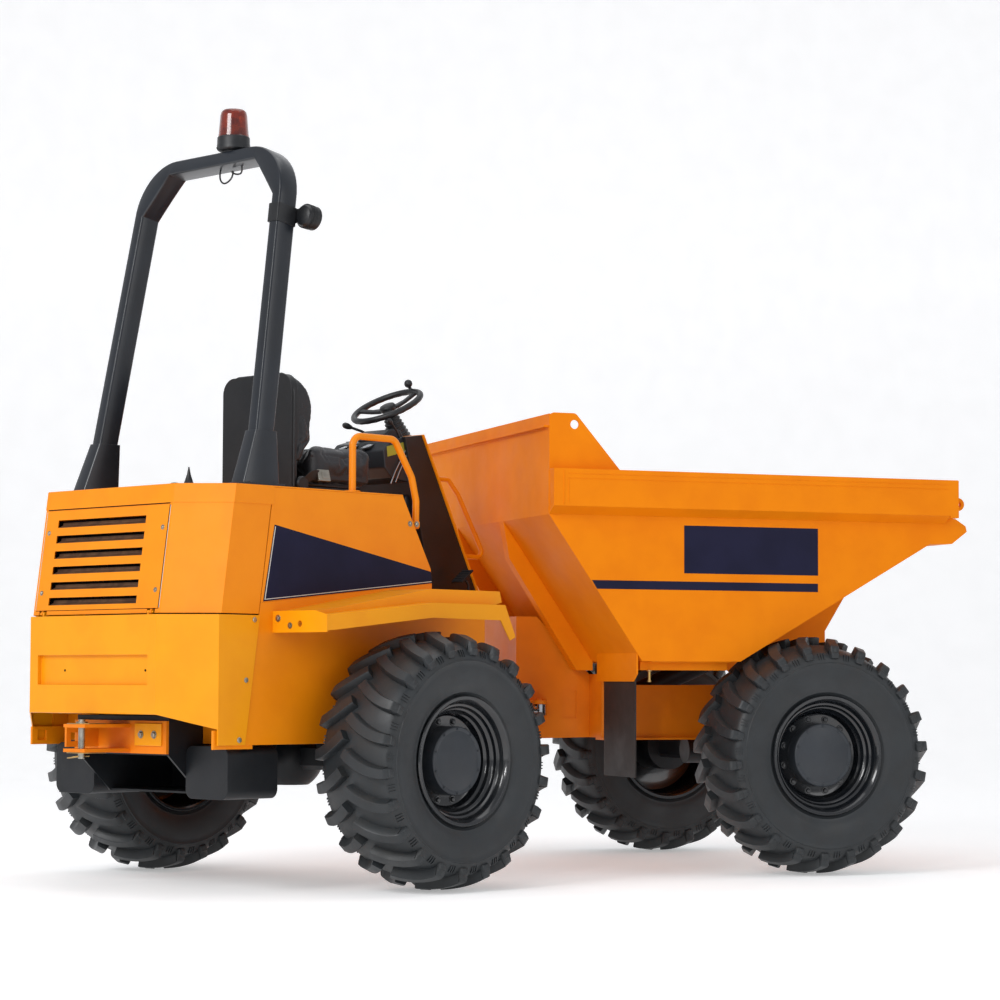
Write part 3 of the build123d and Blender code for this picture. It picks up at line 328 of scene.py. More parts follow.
def addBox(bm, low, high, place=still):
    size = Vector(high) - Vector(low)
    made = bmesh.ops.create_cube(bm, size=1)["verts"]
    middle = Matrix.Translation((Vector(low) + Vector(high)) / 2)
    bmesh.ops.transform(bm, verts=made, matrix=place @ middle @ Matrix.Diagonal((*size, 1)))


def addPrism(bm, outline, along, low, high, place=still):
    # the outline's pair of numbers fills the two axes other than along, in X, Y, Z order
    rings = []
    for level in (low, high):
        ring = []
        for pair in outline:
            point = list(pair)
            point.insert("XYZ".index(along), level)
            ring.append(bm.verts.new(place @ Vector(point)))
        rings.append(ring)
    count = len(outline)
    faces = [bm.faces.new(rings[0]), bm.faces.new(rings[1])]
    for k in range(count):
        n = (k + 1) % count
        faces.append(bm.faces.new((rings[0][k], rings[0][n], rings[1][n], rings[1][k])))
    bmesh.ops.recalc_face_normals(bm, faces=faces)


def joinRings(bm, rings, capped=True, closed=False):
    faces = [bm.faces.new(rings[0]), bm.faces.new(rings[-1])] if capped else []
    pairs = list(zip(rings, rings[1:]))
    if closed:
        pairs.append((rings[-1], rings[0]))
    for a, b in pairs:
        for k in range(len(a)):
            n = (k + 1) % len(a)
            faces.append(bm.faces.new((a[k], a[n], b[n], b[k])))
    bmesh.ops.recalc_face_normals(bm, faces=faces)


def addLathe(bm, profile, steps, place=still, closed=False):
    # (radius, along) pairs turned about the local Y axis
    rings = []
    for radius, along in profile:
        turns = [2 * math.pi * k / steps for k in range(steps)] if radius > 1e-6 else [0]
        circle = [Vector((radius * math.sin(t), along, radius * math.cos(t))) for t in turns]
        rings.append([bm.verts.new(place @ point) for point in circle])
    pairs = list(zip(rings, rings[1:]))
    if closed:
        pairs.append((rings[-1], rings[0]))
    faces = []
    for a, b in pairs:
        for k in range(steps):
            n = (k + 1) % steps
            loop = [a[k % len(a)], a[n % len(a)], b[n % len(b)], b[k % len(b)]]
            loop = [v for i, v in enumerate(loop) if v not in loop[:i]]
            if len(loop) > 2:
                faces.append(bm.faces.new(loop))
    bmesh.ops.recalc_face_normals(bm, faces=faces)


def addTube(bm, points, radius, sides):
    points = [Vector(p) for p in points]
    normal = None
    rings = []
    for k, point in enumerate(points):
        ahead = (points[min(k + 1, len(points) - 1)] - points[max(k - 1, 0)]).normalized()
        normal = ahead.orthogonal() if normal is None else normal - ahead * normal.dot(ahead)
        normal.normalize()
        side = ahead.cross(normal)
        r = radius[k] if isinstance(radius, (list, tuple)) else radius
        turns = [2 * math.pi * s / sides for s in range(sides)]
        rings.append([bm.verts.new(point + r * (math.cos(a) * normal + math.sin(a) * side)) for a in turns])
    joinRings(bm, rings)


def roundPath(points, radius, steps=6):
    # corners of a polyline turned into arcs
    points = [Vector(p) for p in points]
    path = [points[0]]
    for before, corner, after in zip(points, points[1:], points[2:]):
        a, b = (before - corner).normalized(), (after - corner).normalized()
        room = 0.49 * min((before - corner).length, (after - corner).length)
        reach = min(radius / math.tan(a.angle(b) / 2), room)
        start, end = corner + a * reach, corner + b * reach
        for t in [k / steps for k in range(steps + 1)]:
            path.append(start.lerp(corner, t).lerp(corner.lerp(end, t), t))
    return path + [points[-1]]


def facingPlace(point, outward):
    # local Y turned to point outward
    return Matrix.Translation(point) @ Vector(outward).to_track_quat("Y", "Z").to_matrix().to_4x4()


def addBolt(bm, point, outward, size):
    # hexagon head on a washer, both as shares of the head's size
    place = facingPlace(point, outward)
    washer = ((0, 0), (1.55, 0), (1.55, 0.2), (0, 0.2))
    head = ((0, 0.2), (1, 0.2), (1, 0.75), (0.85, 0.9), (0, 0.95))
    for profile, steps in ((washer, 20), (head, 6)):
        addLathe(bm, [(size * r, size * along) for r, along in profile], steps, place)


print("helpers ready")


# tyres and rims
tyreShape = {
    # (radius, half width) from the bead to the crown
    "carcass": [(0.2555, 0.160), (0.268, 0.1675), (0.279, 0.1715), (0.2835, 0.1775), (0.290, 0.1785),
                (0.3, 0.185), (0.325, 0.1935), (0.36, 0.2005), (0.39, 0.2025), (0.408, 0.2015),
                (0.411, 0.2035), (0.4145, 0.2035), (0.417, 0.2005), (0.43, 0.1985), (0.445, 0.193),
                (0.4565, 0.184), (0.464, 0.171), (0.473, 0.150), (0.483, 0.115), (0.4925, 0.07),
                (0.498, 0.03), (0.499, 0)],
    "steps": 120, "lugs": 22, "crown": 0.5345, "drop": 0.040, "shoulder": 0.195, "inner": 0.007,
    "height": 0.037, "root": 0.004, "end": 0.006, "halfTop": 0.0205, "halfBase": 0.0295, "chamfer": 0.003,
    "sweep": 0.092, "curl": 1.7, "back": 0.046, "straightFrom": 0.19,
    # a lug's end over the shoulder: distance from the crown, top and base as (y, radius), share of the width
    "lugEnd": [(0.199, (0.1975, 0.4915), (0.182, 0.458), 0.97),
               (0.205, (0.203, 0.479), (0.186, 0.4535), 0.93), (0.212, (0.2045, 0.4645), (0.190, 0.447), 0.9),
               (0.214, (0.2085, 0.4615), (0.190, 0.446), 0.9), (0.22, (0.2085, 0.4475), (0.192, 0.441), 0.86),
               (0.226, (0.2065, 0.4375), (0.194, 0.436), 0.8),
               (0.23, (0.199, 0.4335), (0.195, 0.4335), 0.76)],
    "rib": [(0.1985, 0.428), (0.2015, 0.432), (0.1975, 0.4475), (0.189, 0.4595), (0.184, 0.4575)],
    "ribHalf": 0.0022, "ribPitch": 0.028,
}


def lugPath(y):
    # how far round the tread a lug's middle lies at a distance from the crown
    s = tyreShape
    return s["sweep"] * max(0, 1 - y / s["shoulder"]) ** s["curl"] - s["back"]


def addLug(bm, turn, side):
    s = tyreShape
    stations = []
    for k in range(15):
        y = s["inner"] + (s["shoulder"] - s["end"] - s["inner"]) * k / 14
        top = s["crown"] - s["drop"] * (y / s["shoulder"]) ** 2
        stations.append((y, (y, top), (y, top - s["height"] - s["root"]), 1.0))
    top, flank, base = s["halfTop"], s["halfTop"] + s["chamfer"], s["halfBase"]
    section = ((-base, 0), (-flank, 0.9), (-top, 1), (top, 1), (flank, 0.9), (base, 0))
    rings = []
    for y, top, base, width in stations + s["lugEnd"]:
        step = 0.002  # the slope is taken over this distance to both sides
        slope = (lugPath(y + step) - lugPath(y - step)) / (2 * step) if y < s["straightFrom"] else 0
        along = Vector((slope, 1)).normalized()
        across = Vector((along.y, -along.x))
        ring = []
        for reach, lift in section:
            shift = across * reach * width
            depth = base[0] + (top[0] - base[0]) * lift
            radius = base[1] + (top[1] - base[1]) * lift
            angle = turn + (lugPath(y) + shift.x) / layout["tyreRadius"]
            ring.append(bm.verts.new((radius * math.sin(angle), side * (depth + shift.y),
                                      radius * math.cos(angle))))
        rings.append(ring)
    joinRings(bm, rings)


def addShoulderRibs(bm, turn, side):
    # three thin ridges on the shoulder between two lugs
    s = tyreShape
    for k in (-1, 0, 1):
        place = Matrix.Rotation(turn + lugPath(1) / layout["tyreRadius"] + k * s["ribPitch"], 4, "Y")
        addPrism(bm, [(side * y, z) for y, z in s["rib"]], "X", -s["ribHalf"], s["ribHalf"], place)


def tyreMesh():
    bm = bmesh.new()
    half = tyreShape["carcass"]
    addLathe(bm, half + [(r, -y) for r, y in reversed(half[:-1])], tyreShape["steps"], closed=True)
    pitch = 2 * math.pi / tyreShape["lugs"]
    for side, start in ((1, 0), (-1, 0.5)):
        for k in range(tyreShape["lugs"]):
            addLug(bm, (k + start) * pitch, side)
            addShoulderRibs(bm, (k + start + 0.5) * pitch, side)
    return bm


# profiles are (radius, distance out from the wheel's middle)
rimShape = {
    "profile": [(0.2535, -0.158), (0.262, -0.1665), (0.2685, -0.170), (0.2705, -0.177), (0.266, -0.184),
                (0.254, -0.183), (0.2455, -0.174), (0.2435, -0.160), (0.2435, -0.02), (0.238, 0.012),
                (0.228, 0.03), (0.19, 0.046), (0.08, 0.049), (0.08, 0.061), (0.150, 0.062), (0.176, 0.063),
                (0.186, 0.067), (0.192, 0.076), (0.196, 0.092), (0.2035, 0.0985), (0.208, 0.104),
                (0.211, 0.116), (0.2195, 0.121), (0.2235, 0.128), (0.2255, 0.140), (0.2345, 0.1445),
                (0.238, 0.151), (0.2395, 0.163), (0.2455, 0.1735), (0.254, 0.183), (0.266, 0.184),
                (0.2705, 0.177), (0.2685, 0.170), (0.262, 0.1665), (0.2535, 0.158)],
    "bolts": 12, "start": 0.5, "circle": 0.166, "seat": 0.0625, "boltSize": 0.011,
}
hubCap = {
    "profile": [(0, 0.1345), (0.121, 0.1345), (0.1235, 0.1335), (0.126, 0.1345), (0.1375, 0.1345),
                (0.1415, 0.1315), (0.1425, 0.126), (0.1425, 0.060), (0, 0.060)],
    "bolts": 10, "start": 0, "circle": 0.1315, "seat": 0.1345, "boltSize": 0.0048,
}


def turnedWithBolts(shape, side, steps, closed):
    bm = bmesh.new()
    addLathe(bm, [(r, side * y) for r, y in shape["profile"]], steps, closed=closed)
    for k in range(shape["bolts"]):
        turn = Matrix.Rotation(2 * math.pi * (k + shape["start"]) / shape["bolts"], 4, "Y")
        addBolt(bm, turn @ Vector((0, side * shape["seat"], shape["circle"])), (0, side, 0),
                shape["boltSize"])
    return bm


def makeWheel(name, side, spot):
    body = "wheel_" + name
    makePiece(tyreMesh(), f"tyre_{name}_rubber", tyreRubber, body, spot, [f"tyre_{name}"],
              angle=38)
    rim = turnedWithBolts(rimShape, side, 96, True)
    makePiece(rim, f"rim_{name}_steel", wheelPaint, body, spot, [f"rim_{name}"], angle=34,
              bevel=0.0012)
    cap = turnedWithBolts(hubCap, side, 72, False)
    makePiece(cap, f"hub_cap_{name}", hubPaint, body, spot, bevel=0.0008)


for hand, side in (("left", 1), ("right", -1)):
    for end, axle, place in (("front", layout["frontAxle"], frontPlace),
                             ("rear", layout["rearAxle"], rearPlace)):
        spot = place @ Matrix.Translation((axle, side * layout["track"], layout["tyreRadius"]))
        makeWheel(f"{end}_{hand}", side, spot)
print("wheels made")

# roll bar, wide bends outside and mitred corners inside
rollBar = {
    "foot": 1.895, "sunk": 0.045, "back": -1.904, "lean": 0.17, "leanFrom": 1.9, "depth": 0.100,
    "halfWidth": 0.543, "taper": 0.061, "taperFrom": 1.88, "top": 3.125, "bar": 0.060, "bend": 0.235,
    "bendSteps": 12, "innerBend": (0.4264, 2.895), "innerTop": 0.282, "fillet": 0.011,
}
rollBarFoot = {
    "low": 1.664, "front": -1.797, "back": (-1.996, -1.912), "half": (0.041, 0.036), "fillet": 0.008,
    "plate": (1.6605, 1.672), "plateHalf": 0.050, "boltIn": 0.03, "boltOut": 0.0465,
    "bolt": [(0, 0), (0.0035, 0), (0.0035, 0.004), (0, 0.004)],
}


def rollBarEdge(z):
    return rollBar["halfWidth"] - rollBar["taper"] * (z - rollBar["taperFrom"])


def rollBarPoint(y, z):
    x = rollBar["back"] + rollBar["depth"] / 2 + rollBar["lean"] * (z - rollBar["leanFrom"])
    return Vector((x, y, z))


def roundedRing(bm, middle, u, v, halfU, halfV, fillet):
    # ring of a rounded oblong, its sides along two directions
    ring = []
    for su, sv, start in ((1, 1, 0), (-1, 1, 90), (-1, -1, 180), (1, -1, 270)):
        for k in range(4):
            a = math.radians(start + 30 * k)
            acrossU = su * (halfU - fillet) + fillet * math.cos(a)
            acrossV = sv * (halfV - fillet) + fillet * math.sin(a)
            ring.append(bm.verts.new(middle + u * acrossU + v * acrossV))
    return ring


def rollBarRing(bm, outer, inner, spare, fillet):
    # the bar's section between its outer and its inner edge, grown by a spare all round
    a, c = rollBarPoint(*outer), rollBarPoint(*inner)
    depthWay = Vector((1, 0, -rollBar["lean"])).normalized()
    halves = ((a - c).length / 2 + spare, rollBar["depth"] / 2 + spare)
    return roundedRing(bm, (a + c) / 2, (a - c).normalized(), depthWay, *halves, fillet)


def makeRollBar():
    bm = bmesh.new()
    b = rollBar
    level = b["top"] - b["bend"]
    centre = rollBarEdge(level) - b["bend"]
    low = b["foot"] - b["sunk"]
    stations = [((rollBarEdge(low), low), (rollBarEdge(low) - b["bar"], low))]
    for k in range(b["bendSteps"] + 1):
        a = math.radians(90 * k / b["bendSteps"])
        inner = Vector(b["innerBend"]).lerp(Vector((b["innerTop"], b["top"] - b["bar"])), k / b["bendSteps"])
        stations.append(((centre + b["bend"] * math.cos(a), level + b["bend"] * math.sin(a)), inner))
    stations += [((-oy, oz), (-iy, iz)) for (oy, oz), (iy, iz) in reversed(stations)]
    joinRings(bm, [rollBarRing(bm, outer, inner, 0, b["fillet"]) for outer, inner in stations])
    for side in (-1, 1):
        addRollBarFoot(bm, side)
    rearPiece(bm, "roll_bar_tube", rollBarPaint, "rops_hoop", ["rops_hoop"], angle=40,
              bevel=0.001)


def addRollBarFoot(bm, side):
    # folded socket with an upright front edge, on a base plate with four bolts
    f = rollBarFoot
    rings = []
    for z, back, half in zip((f["low"], rollBar["foot"] - 0.004), f["back"], f["half"]):
        middle = Vector(((back + f["front"]) / 2, side * (rollBarEdge(z) - rollBar["bar"] / 2), z))
        halfLong = (f["front"] - back) / 2
        rings.append(roundedRing(bm, middle, Vector((1, 0, 0)), Vector((0, 1, 0)), halfLong, half,
                                 f["fillet"]))
    joinRings(bm, rings)
    y = side * (rollBarEdge(f["low"]) - rollBar["bar"] / 2)
    bottom, top = f["plate"]
    addBox(bm, (f["back"][0] - 0.004, y - f["plateHalf"], bottom),
           (f["front"] + 0.02, y + f["plateHalf"], top))
    for x in (f["back"][0] + f["boltIn"], f["front"] - f["boltIn"]):
        for sy in (-f["boltOut"], f["boltOut"]):
            addLathe(bm, f["bolt"], 10, facingPlace((x, y + sy, top), upward))


# beacon, its lead under the bar and the work lamp; profiles are (radius, distance along)
beacon = {
    "y": -0.080, "foot": 3.124,
    "base": [(0, 0), (0.046, 0), (0.046, 0.012), (0.066, 0.016), (0.072, 0.022), (0.072, 0.040),
             (0.0705, 0.044), (0.0700, 0.072), (0.0675, 0.075), (0, 0.075)],
    "bulb": [(0, 0.0758), (0.034, 0.0758), (0.032, 0.110), (0.018, 0.114), (0.016, 0.150), (0, 0.152)],
    "lens": [(0, 0.0755), (0.0665, 0.0755), (0.0665, 0.080), (0.0660, 0.082), (0.0655, 0.086),
             (0.0650, 0.088), (0.0585, 0.168), (0.0545, 0.184), (0.046, 0.1925), (0.030, 0.1955), (0, 0.196)],
    "screws": 3, "screwAt": (0.0255, 0.0715), "screwSize": 0.0035,
}
workLamp = {
    "height": 2.812, "off": 0.004, "inset": 0.018, "plate": (0.006, 0.028, 0.030), "bolts": (0.014, -0.014),
    "arm": [(0, -0.028), (0.006, -0.028), (0.030, -0.050), (0.026, -0.054)], "armHalf": 0.024,
    "barrelAt": (-0.006, -0.056), "aim": (1, 0, -0.12),
    "barrel": [(0, 0), (0.030, 0), (0.042, 0.006), (0.049, 0.018), (0.0515, 0.030), (0.0515, 0.070),
               (0.048, 0.073), (0.0465, 0.070), (0.0465, 0.063), (0, 0.063)],
    "fin": [(0.030, 0), (0.0525, 0), (0.0525, 0.0022), (0.030, 0.0022)], "fins": 7, "finAt": 0.019,
    "finPitch": 0.0045,
    "glass": [(0, 0.0635), (0.0455, 0.0635), (0.0455, 0.066), (0.022, 0.0685), (0, 0.069)],
    "clamp": (2.772, 2.852), "clampThick": 0.0035, "clampFillet": 0.008,
}
beaconLead = {
    "thick": 0.0076, "level": 3.062,
    # (forward of the bar's middle, y, z)
    "route": [(0, -0.010, 3.068), (-0.012, -0.012, 3.028), (-0.018, -0.050, 2.992), (-0.010, -0.092, 3.012),
              (0.004, -0.090, 3.052), (0.016, -0.060, 3.050), (0.022, -0.096, 3.036), (0.012, -0.140, 3.040),
              (0, -0.146, 3.068)],
}


def makeBeacon():
    x = rollBarPoint(0, beacon["foot"]).x
    place = rearPlace @ facingPlace((x, beacon["y"], beacon["foot"]), upward)
    body = nodeBody("beacon_base")
    bm = bmesh.new()
    addLathe(bm, beacon["base"], 56)
    addLathe(bm, beacon["bulb"], 32)
    for k in range(beacon["screws"]):
        turn = Matrix.Rotation(2 * math.pi * k / beacon["screws"], 4, "Y")
        addBolt(bm, turn @ Vector((0, *beacon["screwAt"])), turn @ Vector((0, 0, 1)), beacon["screwSize"])
    makePiece(bm, "beacon_socket", blackPlastic, body, place, ["beacon_base"], bevel=0.0008)
    bm = bmesh.new()
    addLathe(bm, beacon["lens"], 72)
    makePiece(bm, "beacon_dome", amberLens, body, place, ["beacon_lens"], angle=40)


def makeWorkLamp():
    w = workLamp
    z = w["height"]
    x = rollBarPoint(0, z).x + rollBar["depth"] / 2 + w["off"]
    y = -rollBarEdge(z) + w["inset"]
    thick, halfY, halfZ = w["plate"]
    bm = bmesh.new()
    addBox(bm, (x, y - halfY, z - halfZ), (x + thick, y + halfY, z + halfZ))
    addPrism(bm, [(x + dx, y + dy) for dx, dy in w["arm"]], "Z", z - w["armHalf"], z + w["armHalf"])
    for dz in w["bolts"]:
        addBolt(bm, (x + thick, y + 0.006, z + dz), (1, 0, 0), 0.007)
    barrel = facingPlace((x + w["barrelAt"][0], y + w["barrelAt"][1], z), w["aim"])
    addLathe(bm, w["barrel"], 48, barrel)
    for k in range(w["fins"]):
        addLathe(bm, w["fin"], 40, barrel @ Matrix.Translation((0, w["finAt"] + w["finPitch"] * k, 0)),
                 closed=True)
    rearPiece(bm, "work_lamp_body", blackPlastic, "work_lamp", ["work_lamp"], angle=40,
              bevel=0.0008)
    bm = bmesh.new()
    addLathe(bm, w["glass"], 40, barrel)
    rearPiece(bm, "work_lamp_glass", lampGlass, "work_lamp", angle=40)


def makeLampClamp():
    # folded strap round the right leg that carries the lamp
    bm = bmesh.new()
    rings = []
    for z in workLamp["clamp"]:
        edge = -rollBarEdge(z)
        rings.append(rollBarRing(bm, (edge, z), (edge + rollBar["bar"], z), workLamp["clampThick"],
                                 workLamp["clampFillet"]))
    joinRings(bm, rings)
    rearPiece(bm, "work_lamp_clamp", blackPlastic, "work_lamp", bevel=0.0008)


def makeBeaconLead():
    # short lead that hangs in a loop under the top bar
    middle = rollBarPoint(0, beaconLead["level"]).x
    route = [rearPlace @ Vector((middle + dx, y, z)) for dx, y, z in beaconLead["route"]]
    curve = bpy.data.curves.new("beacon_lead", "CURVE")
    curve.dimensions, curve.bevel_depth, curve.bevel_resolution = "3D", beaconLead["thick"] / 2, 4
    spline = curve.splines.new("NURBS")
    spline.points.add(len(route) - 1)
    for knot, point in zip(spline.points, route):
        knot.co = (*point, 1)
    spline.order_u, spline.use_endpoint_u, spline.resolution_u = 3, True, 8
    lead = bpy.data.objects.new("beacon_lead", curve)
    bpy.context.scene.collection.objects.link(lead)
    curve.materials.append(hoseRubber)
    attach(lead, nodeBody("rops_hoop"))


makeRollBar()
makeBeacon()
makeWorkLamp()
makeLampClamp()
makeBeaconLead()
print("roll bar, beacon and lamp made")

# grille plate, drawn flat about its own middle with X into the machine
grille = {
    "middle": (-2.269, 0, 1.355), "lean": 7.84, "half": (0.400, 0.2025), "top": 0.2215, "face": -0.0037,
    "thick": 0.0034, "slot": (-0.26, 0.32), "slots": 6, "pitch": 0.066, "slotHalf": 0.016,
    # the two leaves of a bent vane, from the slot's lower edge
    "vane": ([(0.0, -0.001), (0.0, 0.0008), (0.022, 0.0145), (0.0225, 0.0125)],
             [(0.0225, 0.0125), (0.022, 0.0145), (0.023, 0.026), (0.0245, 0.026)]),
    "core": ((0.034, -0.36, -0.185), (0.040, 0.36, 0.185)),
    "fins": 60, "finStart": -0.354, "finPitch": 0.012, "finHalf": 0.0008, "finDepth": (0.030, 0.0345),
    "finTop": 0.183, "screws": (0.374, 0.128), "screwFace": -0.0036,
    "washer": [(0, 0), (0.0105, 0), (0.0105, 0.0014), (0.0098, 0.0018), (0, 0.0018)],
    "screw": [(0, 0.0018), (0.0072, 0.0018), (0.0068, 0.0042), (0.0045, 0.0062), (0.0022, 0.0066),
              (0.0018, 0.0045), (0, 0.0045)],
    # painted shadow: dark strips in the gap round the plate, as (y0, y1, z0, z1)
    "gap": ((-0.4025, 0.4025, -0.2045, -0.2025), (-0.4025, -0.4, -0.2045, 0.2215),
            (0.4, 0.4025, -0.2045, 0.2215)),
    "gapDepth": (-0.0006, 0.0002), "edgeHighlight": 0.4055, "edgeSpan": (-0.200, 0.219), "edgeThick": 0.0012,
}


def grillePiece(bm, name, material, node, replaces=(), bevel=0.0):
    lean = Matrix.Rotation(math.radians(grille["lean"]), 4, "Y")
    place = rearPlace @ Matrix.Translation(grille["middle"]) @ lean
    makePiece(bm, name, material, nodeBody(node), place, replaces, bevel=bevel)


def slotHeights():
    return [(k - (grille["slots"] - 1) / 2) * grille["pitch"] for k in range(grille["slots"])]


def makeLouvrePlate():
    g = grille
    bm = bmesh.new()
    ys = [-g["half"][0], *g["slot"], g["half"][0]]
    zs = [-g["half"][1]] + [z + s * g["slotHalf"] for z in slotHeights() for s in (-1, 1)] + [g["top"]]
    grid = [[bm.verts.new((g["face"], y, z)) for z in zs] for y in ys]
    faces = []
    for i in range(3):
        for j in range(len(zs) - 1):
            if not (i == 1 and j % 2):  # every other cell of the middle column is a slot
                faces.append(bm.faces.new((grid[i][j], grid[i][j + 1], grid[i + 1][j + 1], grid[i + 1][j])))
    made = bmesh.ops.extrude_face_region(bm, geom=faces)["geom"]
    moved = [v for v in made if isinstance(v, bmesh.types.BMVert)]
    bmesh.ops.translate(bm, verts=moved, vec=(g["thick"], 0, 0))
    bmesh.ops.recalc_face_normals(bm, faces=bm.faces)
    bmesh.ops.dissolve_limit(bm, angle_limit=math.radians(1), verts=bm.verts, edges=bm.edges)
    grillePiece(bm, "louvre_plate", bodyPaint, "louvre_panel", ["louvre_panel"], 0.0011)


def makeVanesAndCore():
    g = grille
    bm = bmesh.new()
    # vanes in the brown-grey of painted shade
    for z in slotHeights():
        for leaf in g["vane"]:
            addPrism(bm, [(x, z - g["slotHalf"] + dz) for x, dz in leaf], "Y", *g["slot"])
    grillePiece(bm, "louvre_vanes", shadedVanePaint, "louvre_panel", bevel=0.0005)
    # near-black box with fins behind the slots: the radiator core, its near-black partly painted shade inside
    # the slots
    bm = bmesh.new()
    addBox(bm, *g["core"])
    near, far = g["finDepth"]
    for k in range(g["fins"]):
        y = g["finStart"] + k * g["finPitch"]
        addBox(bm, (near, y - g["finHalf"], -g["finTop"]), (far, y + g["finHalf"], g["finTop"]))
    grillePiece(bm, "radiator_core_shade", shadowLine, "louvre_panel")


def makeLouvreTrim():
    g = grille
    bm = bmesh.new()
    for y in (-g["screws"][0], g["screws"][0]):
        for z in (-g["screws"][1], g["screws"][1]):
            place = facingPlace((g["screwFace"], y, z), rearward)
            addLathe(bm, g["washer"], 24, place)
            addLathe(bm, g["screw"], 20, place)
    grillePiece(bm, "louvre_screws", platedSteel, "louvre_panel", bevel=0.0003)
    # dark strips of painted shadow in the gap round the plate
    bm = bmesh.new()
    for y0, y1, z0, z1 in g["gap"]:
        addBox(bm, (g["gapDepth"][0], y0, z0), (g["gapDepth"][1], y1, z1))
    grillePiece(bm, "louvre_gap_shadow", shadowLine, "louvre_panel")
    # pale lines down both side edges of the plate: painted highlight
    bm = bmesh.new()
    for y in (-g["edgeHighlight"], g["edgeHighlight"]):
        addTube(bm, [(g["gapDepth"][0], y, z) for z in g["edgeSpan"]], g["edgeThick"], 6)
    grillePiece(bm, "louvre_edge_highlights", paleEdge, "engine_cover")


# folded band round the top of the cover, proud of the walls, with a dark line of painted shadow under it
cover = {
    "half": 0.605, "faceHalf": 0.418, "cornerX": -2.140, "backX": -2.300, "belt": 1.130, "band": 1.582,
    "top": 1.6585, "lean": 0.062 / 0.45, "seamX": -1.862, "proud": 0.0022, "sunk": -0.0012, "shadowDrop": 0.002,
    "shadowOut": 0.0006, "shadowShare": 0.955, "shadowThick": 0.0021,
}


def coverPlan(z, out):
    # the band's outline from above, from the right seam round the back to the left one
    shift = cover["lean"] * (z - cover["belt"])
    wide = cover["half"] + out
    right = [(cover["seamX"], -wide), (cover["cornerX"] + shift - out * 0.4, -wide),
             (cover["backX"] + shift - out, -cover["faceHalf"] - out * 0.5)]
    return right + [(x, -y) for x, y in reversed(right)]


def makeCoverBand():
    bm = bmesh.new()
    levels = (cover["band"], cover["top"])
    outer, inner = [[[bm.verts.new((x, y, z)) for x, y in coverPlan(z, out)] for z in levels]
                    for out in (cover["proud"], cover["sunk"])]
    for k in range(5):
        bm.faces.new((outer[0][k], outer[0][k + 1], outer[1][k + 1], outer[1][k]))
        bm.faces.new((inner[0][k + 1], inner[0][k], inner[1][k], inner[1][k + 1]))
        for level in (0, 1):
            bm.faces.new((outer[level][k], outer[level][k + 1], inner[level][k + 1], inner[level][k]))
    for end in (0, 5):
        bm.faces.new((outer[0][end], outer[1][end], inner[1][end], inner[0][end]))
    bmesh.ops.recalc_face_normals(bm, faces=bm.faces)
    rearPiece(bm, "cover_band", bodyPaint, "engine_cover", bevel=0.0009)
    # dark tube under the band's back: painted shadow
    bm = bmesh.new()
    z = cover["band"] - cover["shadowDrop"]
    back = coverPlan(z, cover["shadowOut"])[2:4]
    addTube(bm, [(x, y * cover["shadowShare"], z) for x, y in back], cover["shadowThick"], 8)
    rearPiece(bm, "cover_band_shadow", shadowLine, "engine_cover")


# blank dark wedge on each cowl with a pale line along its back and lower edges
wedge = {"outline": [(-1.859, 1.501), (-0.958, 1.336), (-0.950, 1.287), (-1.918, 1.186)],
         "level": (0.6052, 0.6058),
         "lines": ([(-1.8565, 1.4935), (-1.8525, 1.4930), (-1.9065, 1.1935), (-1.9115, 1.1930)],
                   [(-1.9115, 1.1930), (-0.9535, 1.2920), (-0.9540, 1.2950), (-1.9065, 1.1965)]),
         "lineLevel": (0.6059, 0.6062)}


def addSidePlate(bm, outline, side, low, high):
    addPrism(bm, outline, "Y", *sorted((side * low, side * high)))


def makeWedges():
    for hand, side in (("left", 1), ("right", -1)):
        bm = bmesh.new()
        addSidePlate(bm, wedge["outline"], side, *wedge["level"])
        rearPiece(bm, f"cowl_wedge_{hand}", navyDecal, "side_cowls")
        bm = bmesh.new()
        for outline in wedge["lines"]:
            addSidePlate(bm, outline, side, *wedge["lineLevel"])
        rearPiece(bm, f"cowl_wedge_line_{hand}", paleEdge, "side_cowls")


rearBolts = {
    "wall": 0.6052, "seam": -1.8664,
    "side": ((-1.968, 1.111, 0.0115), (-2.011, 0.867, 0.0115), (-2.045, 0.627, 0.0125)),
    "back": ((0.640, 1.118, 0.0095), (0.712, 1.088, 0.0085)),
}
# dark discs of painted shade standing for the two holes in the bumper's recess
bumperHoles = {"x": -2.2961, "z": 0.905, "across": (0.20, -0.325),
               "disc": [(0, 0), (0.005, 0), (0.005, 0.0012), (0, 0.0012)]}
# rubber stops on the deck, profiles by their (x, y)
deckStops = {
    (-2.06, -0.30): [(0, 0), (0.034, 0), (0.030, 0.006), (0.019, 0.016), (0.008, 0.050), (0.0025, 0.080),
                     (0, 0.082)],
    (-1.62, 0.32): [(0, 0), (0.016, 0), (0.016, 0.018), (0.022, 0.024), (0.030, 0.040), (0.028, 0.058),
                    (0.016, 0.068), (0, 0.070)],
}
deckTop = 1.6602


def makeRearFittings():
    bm = bmesh.new()
    for side in (-1, 1):
        for x, z, size in rearBolts["side"]:
            addBolt(bm, (x, side * rearBolts["wall"], z), (0, side, 0), size)
        for y, z, size in rearBolts["back"]:
            addBolt(bm, (rearBolts["seam"], side * y, z), rearward, size)
    rearPiece(bm, "rear_bolts", platedSteel, "side_panels", bevel=0.0004)
    # flat dark discs for the holes: painted shade
    bm = bmesh.new()
    for y in bumperHoles["across"]:
        addLathe(bm, bumperHoles["disc"], 16, facingPlace((bumperHoles["x"], y, bumperHoles["z"]), rearward))
    rearPiece(bm, "bumper_hole_shade", shadowLine, "bumper")
    bm = bmesh.new()
    for (x, y), profile in deckStops.items():
        addLathe(bm, profile, 28, facingPlace((x, y, deckTop), upward))
    rearPiece(bm, "deck_stops", blackPlastic, "rear_deck", bevel=0.0004)


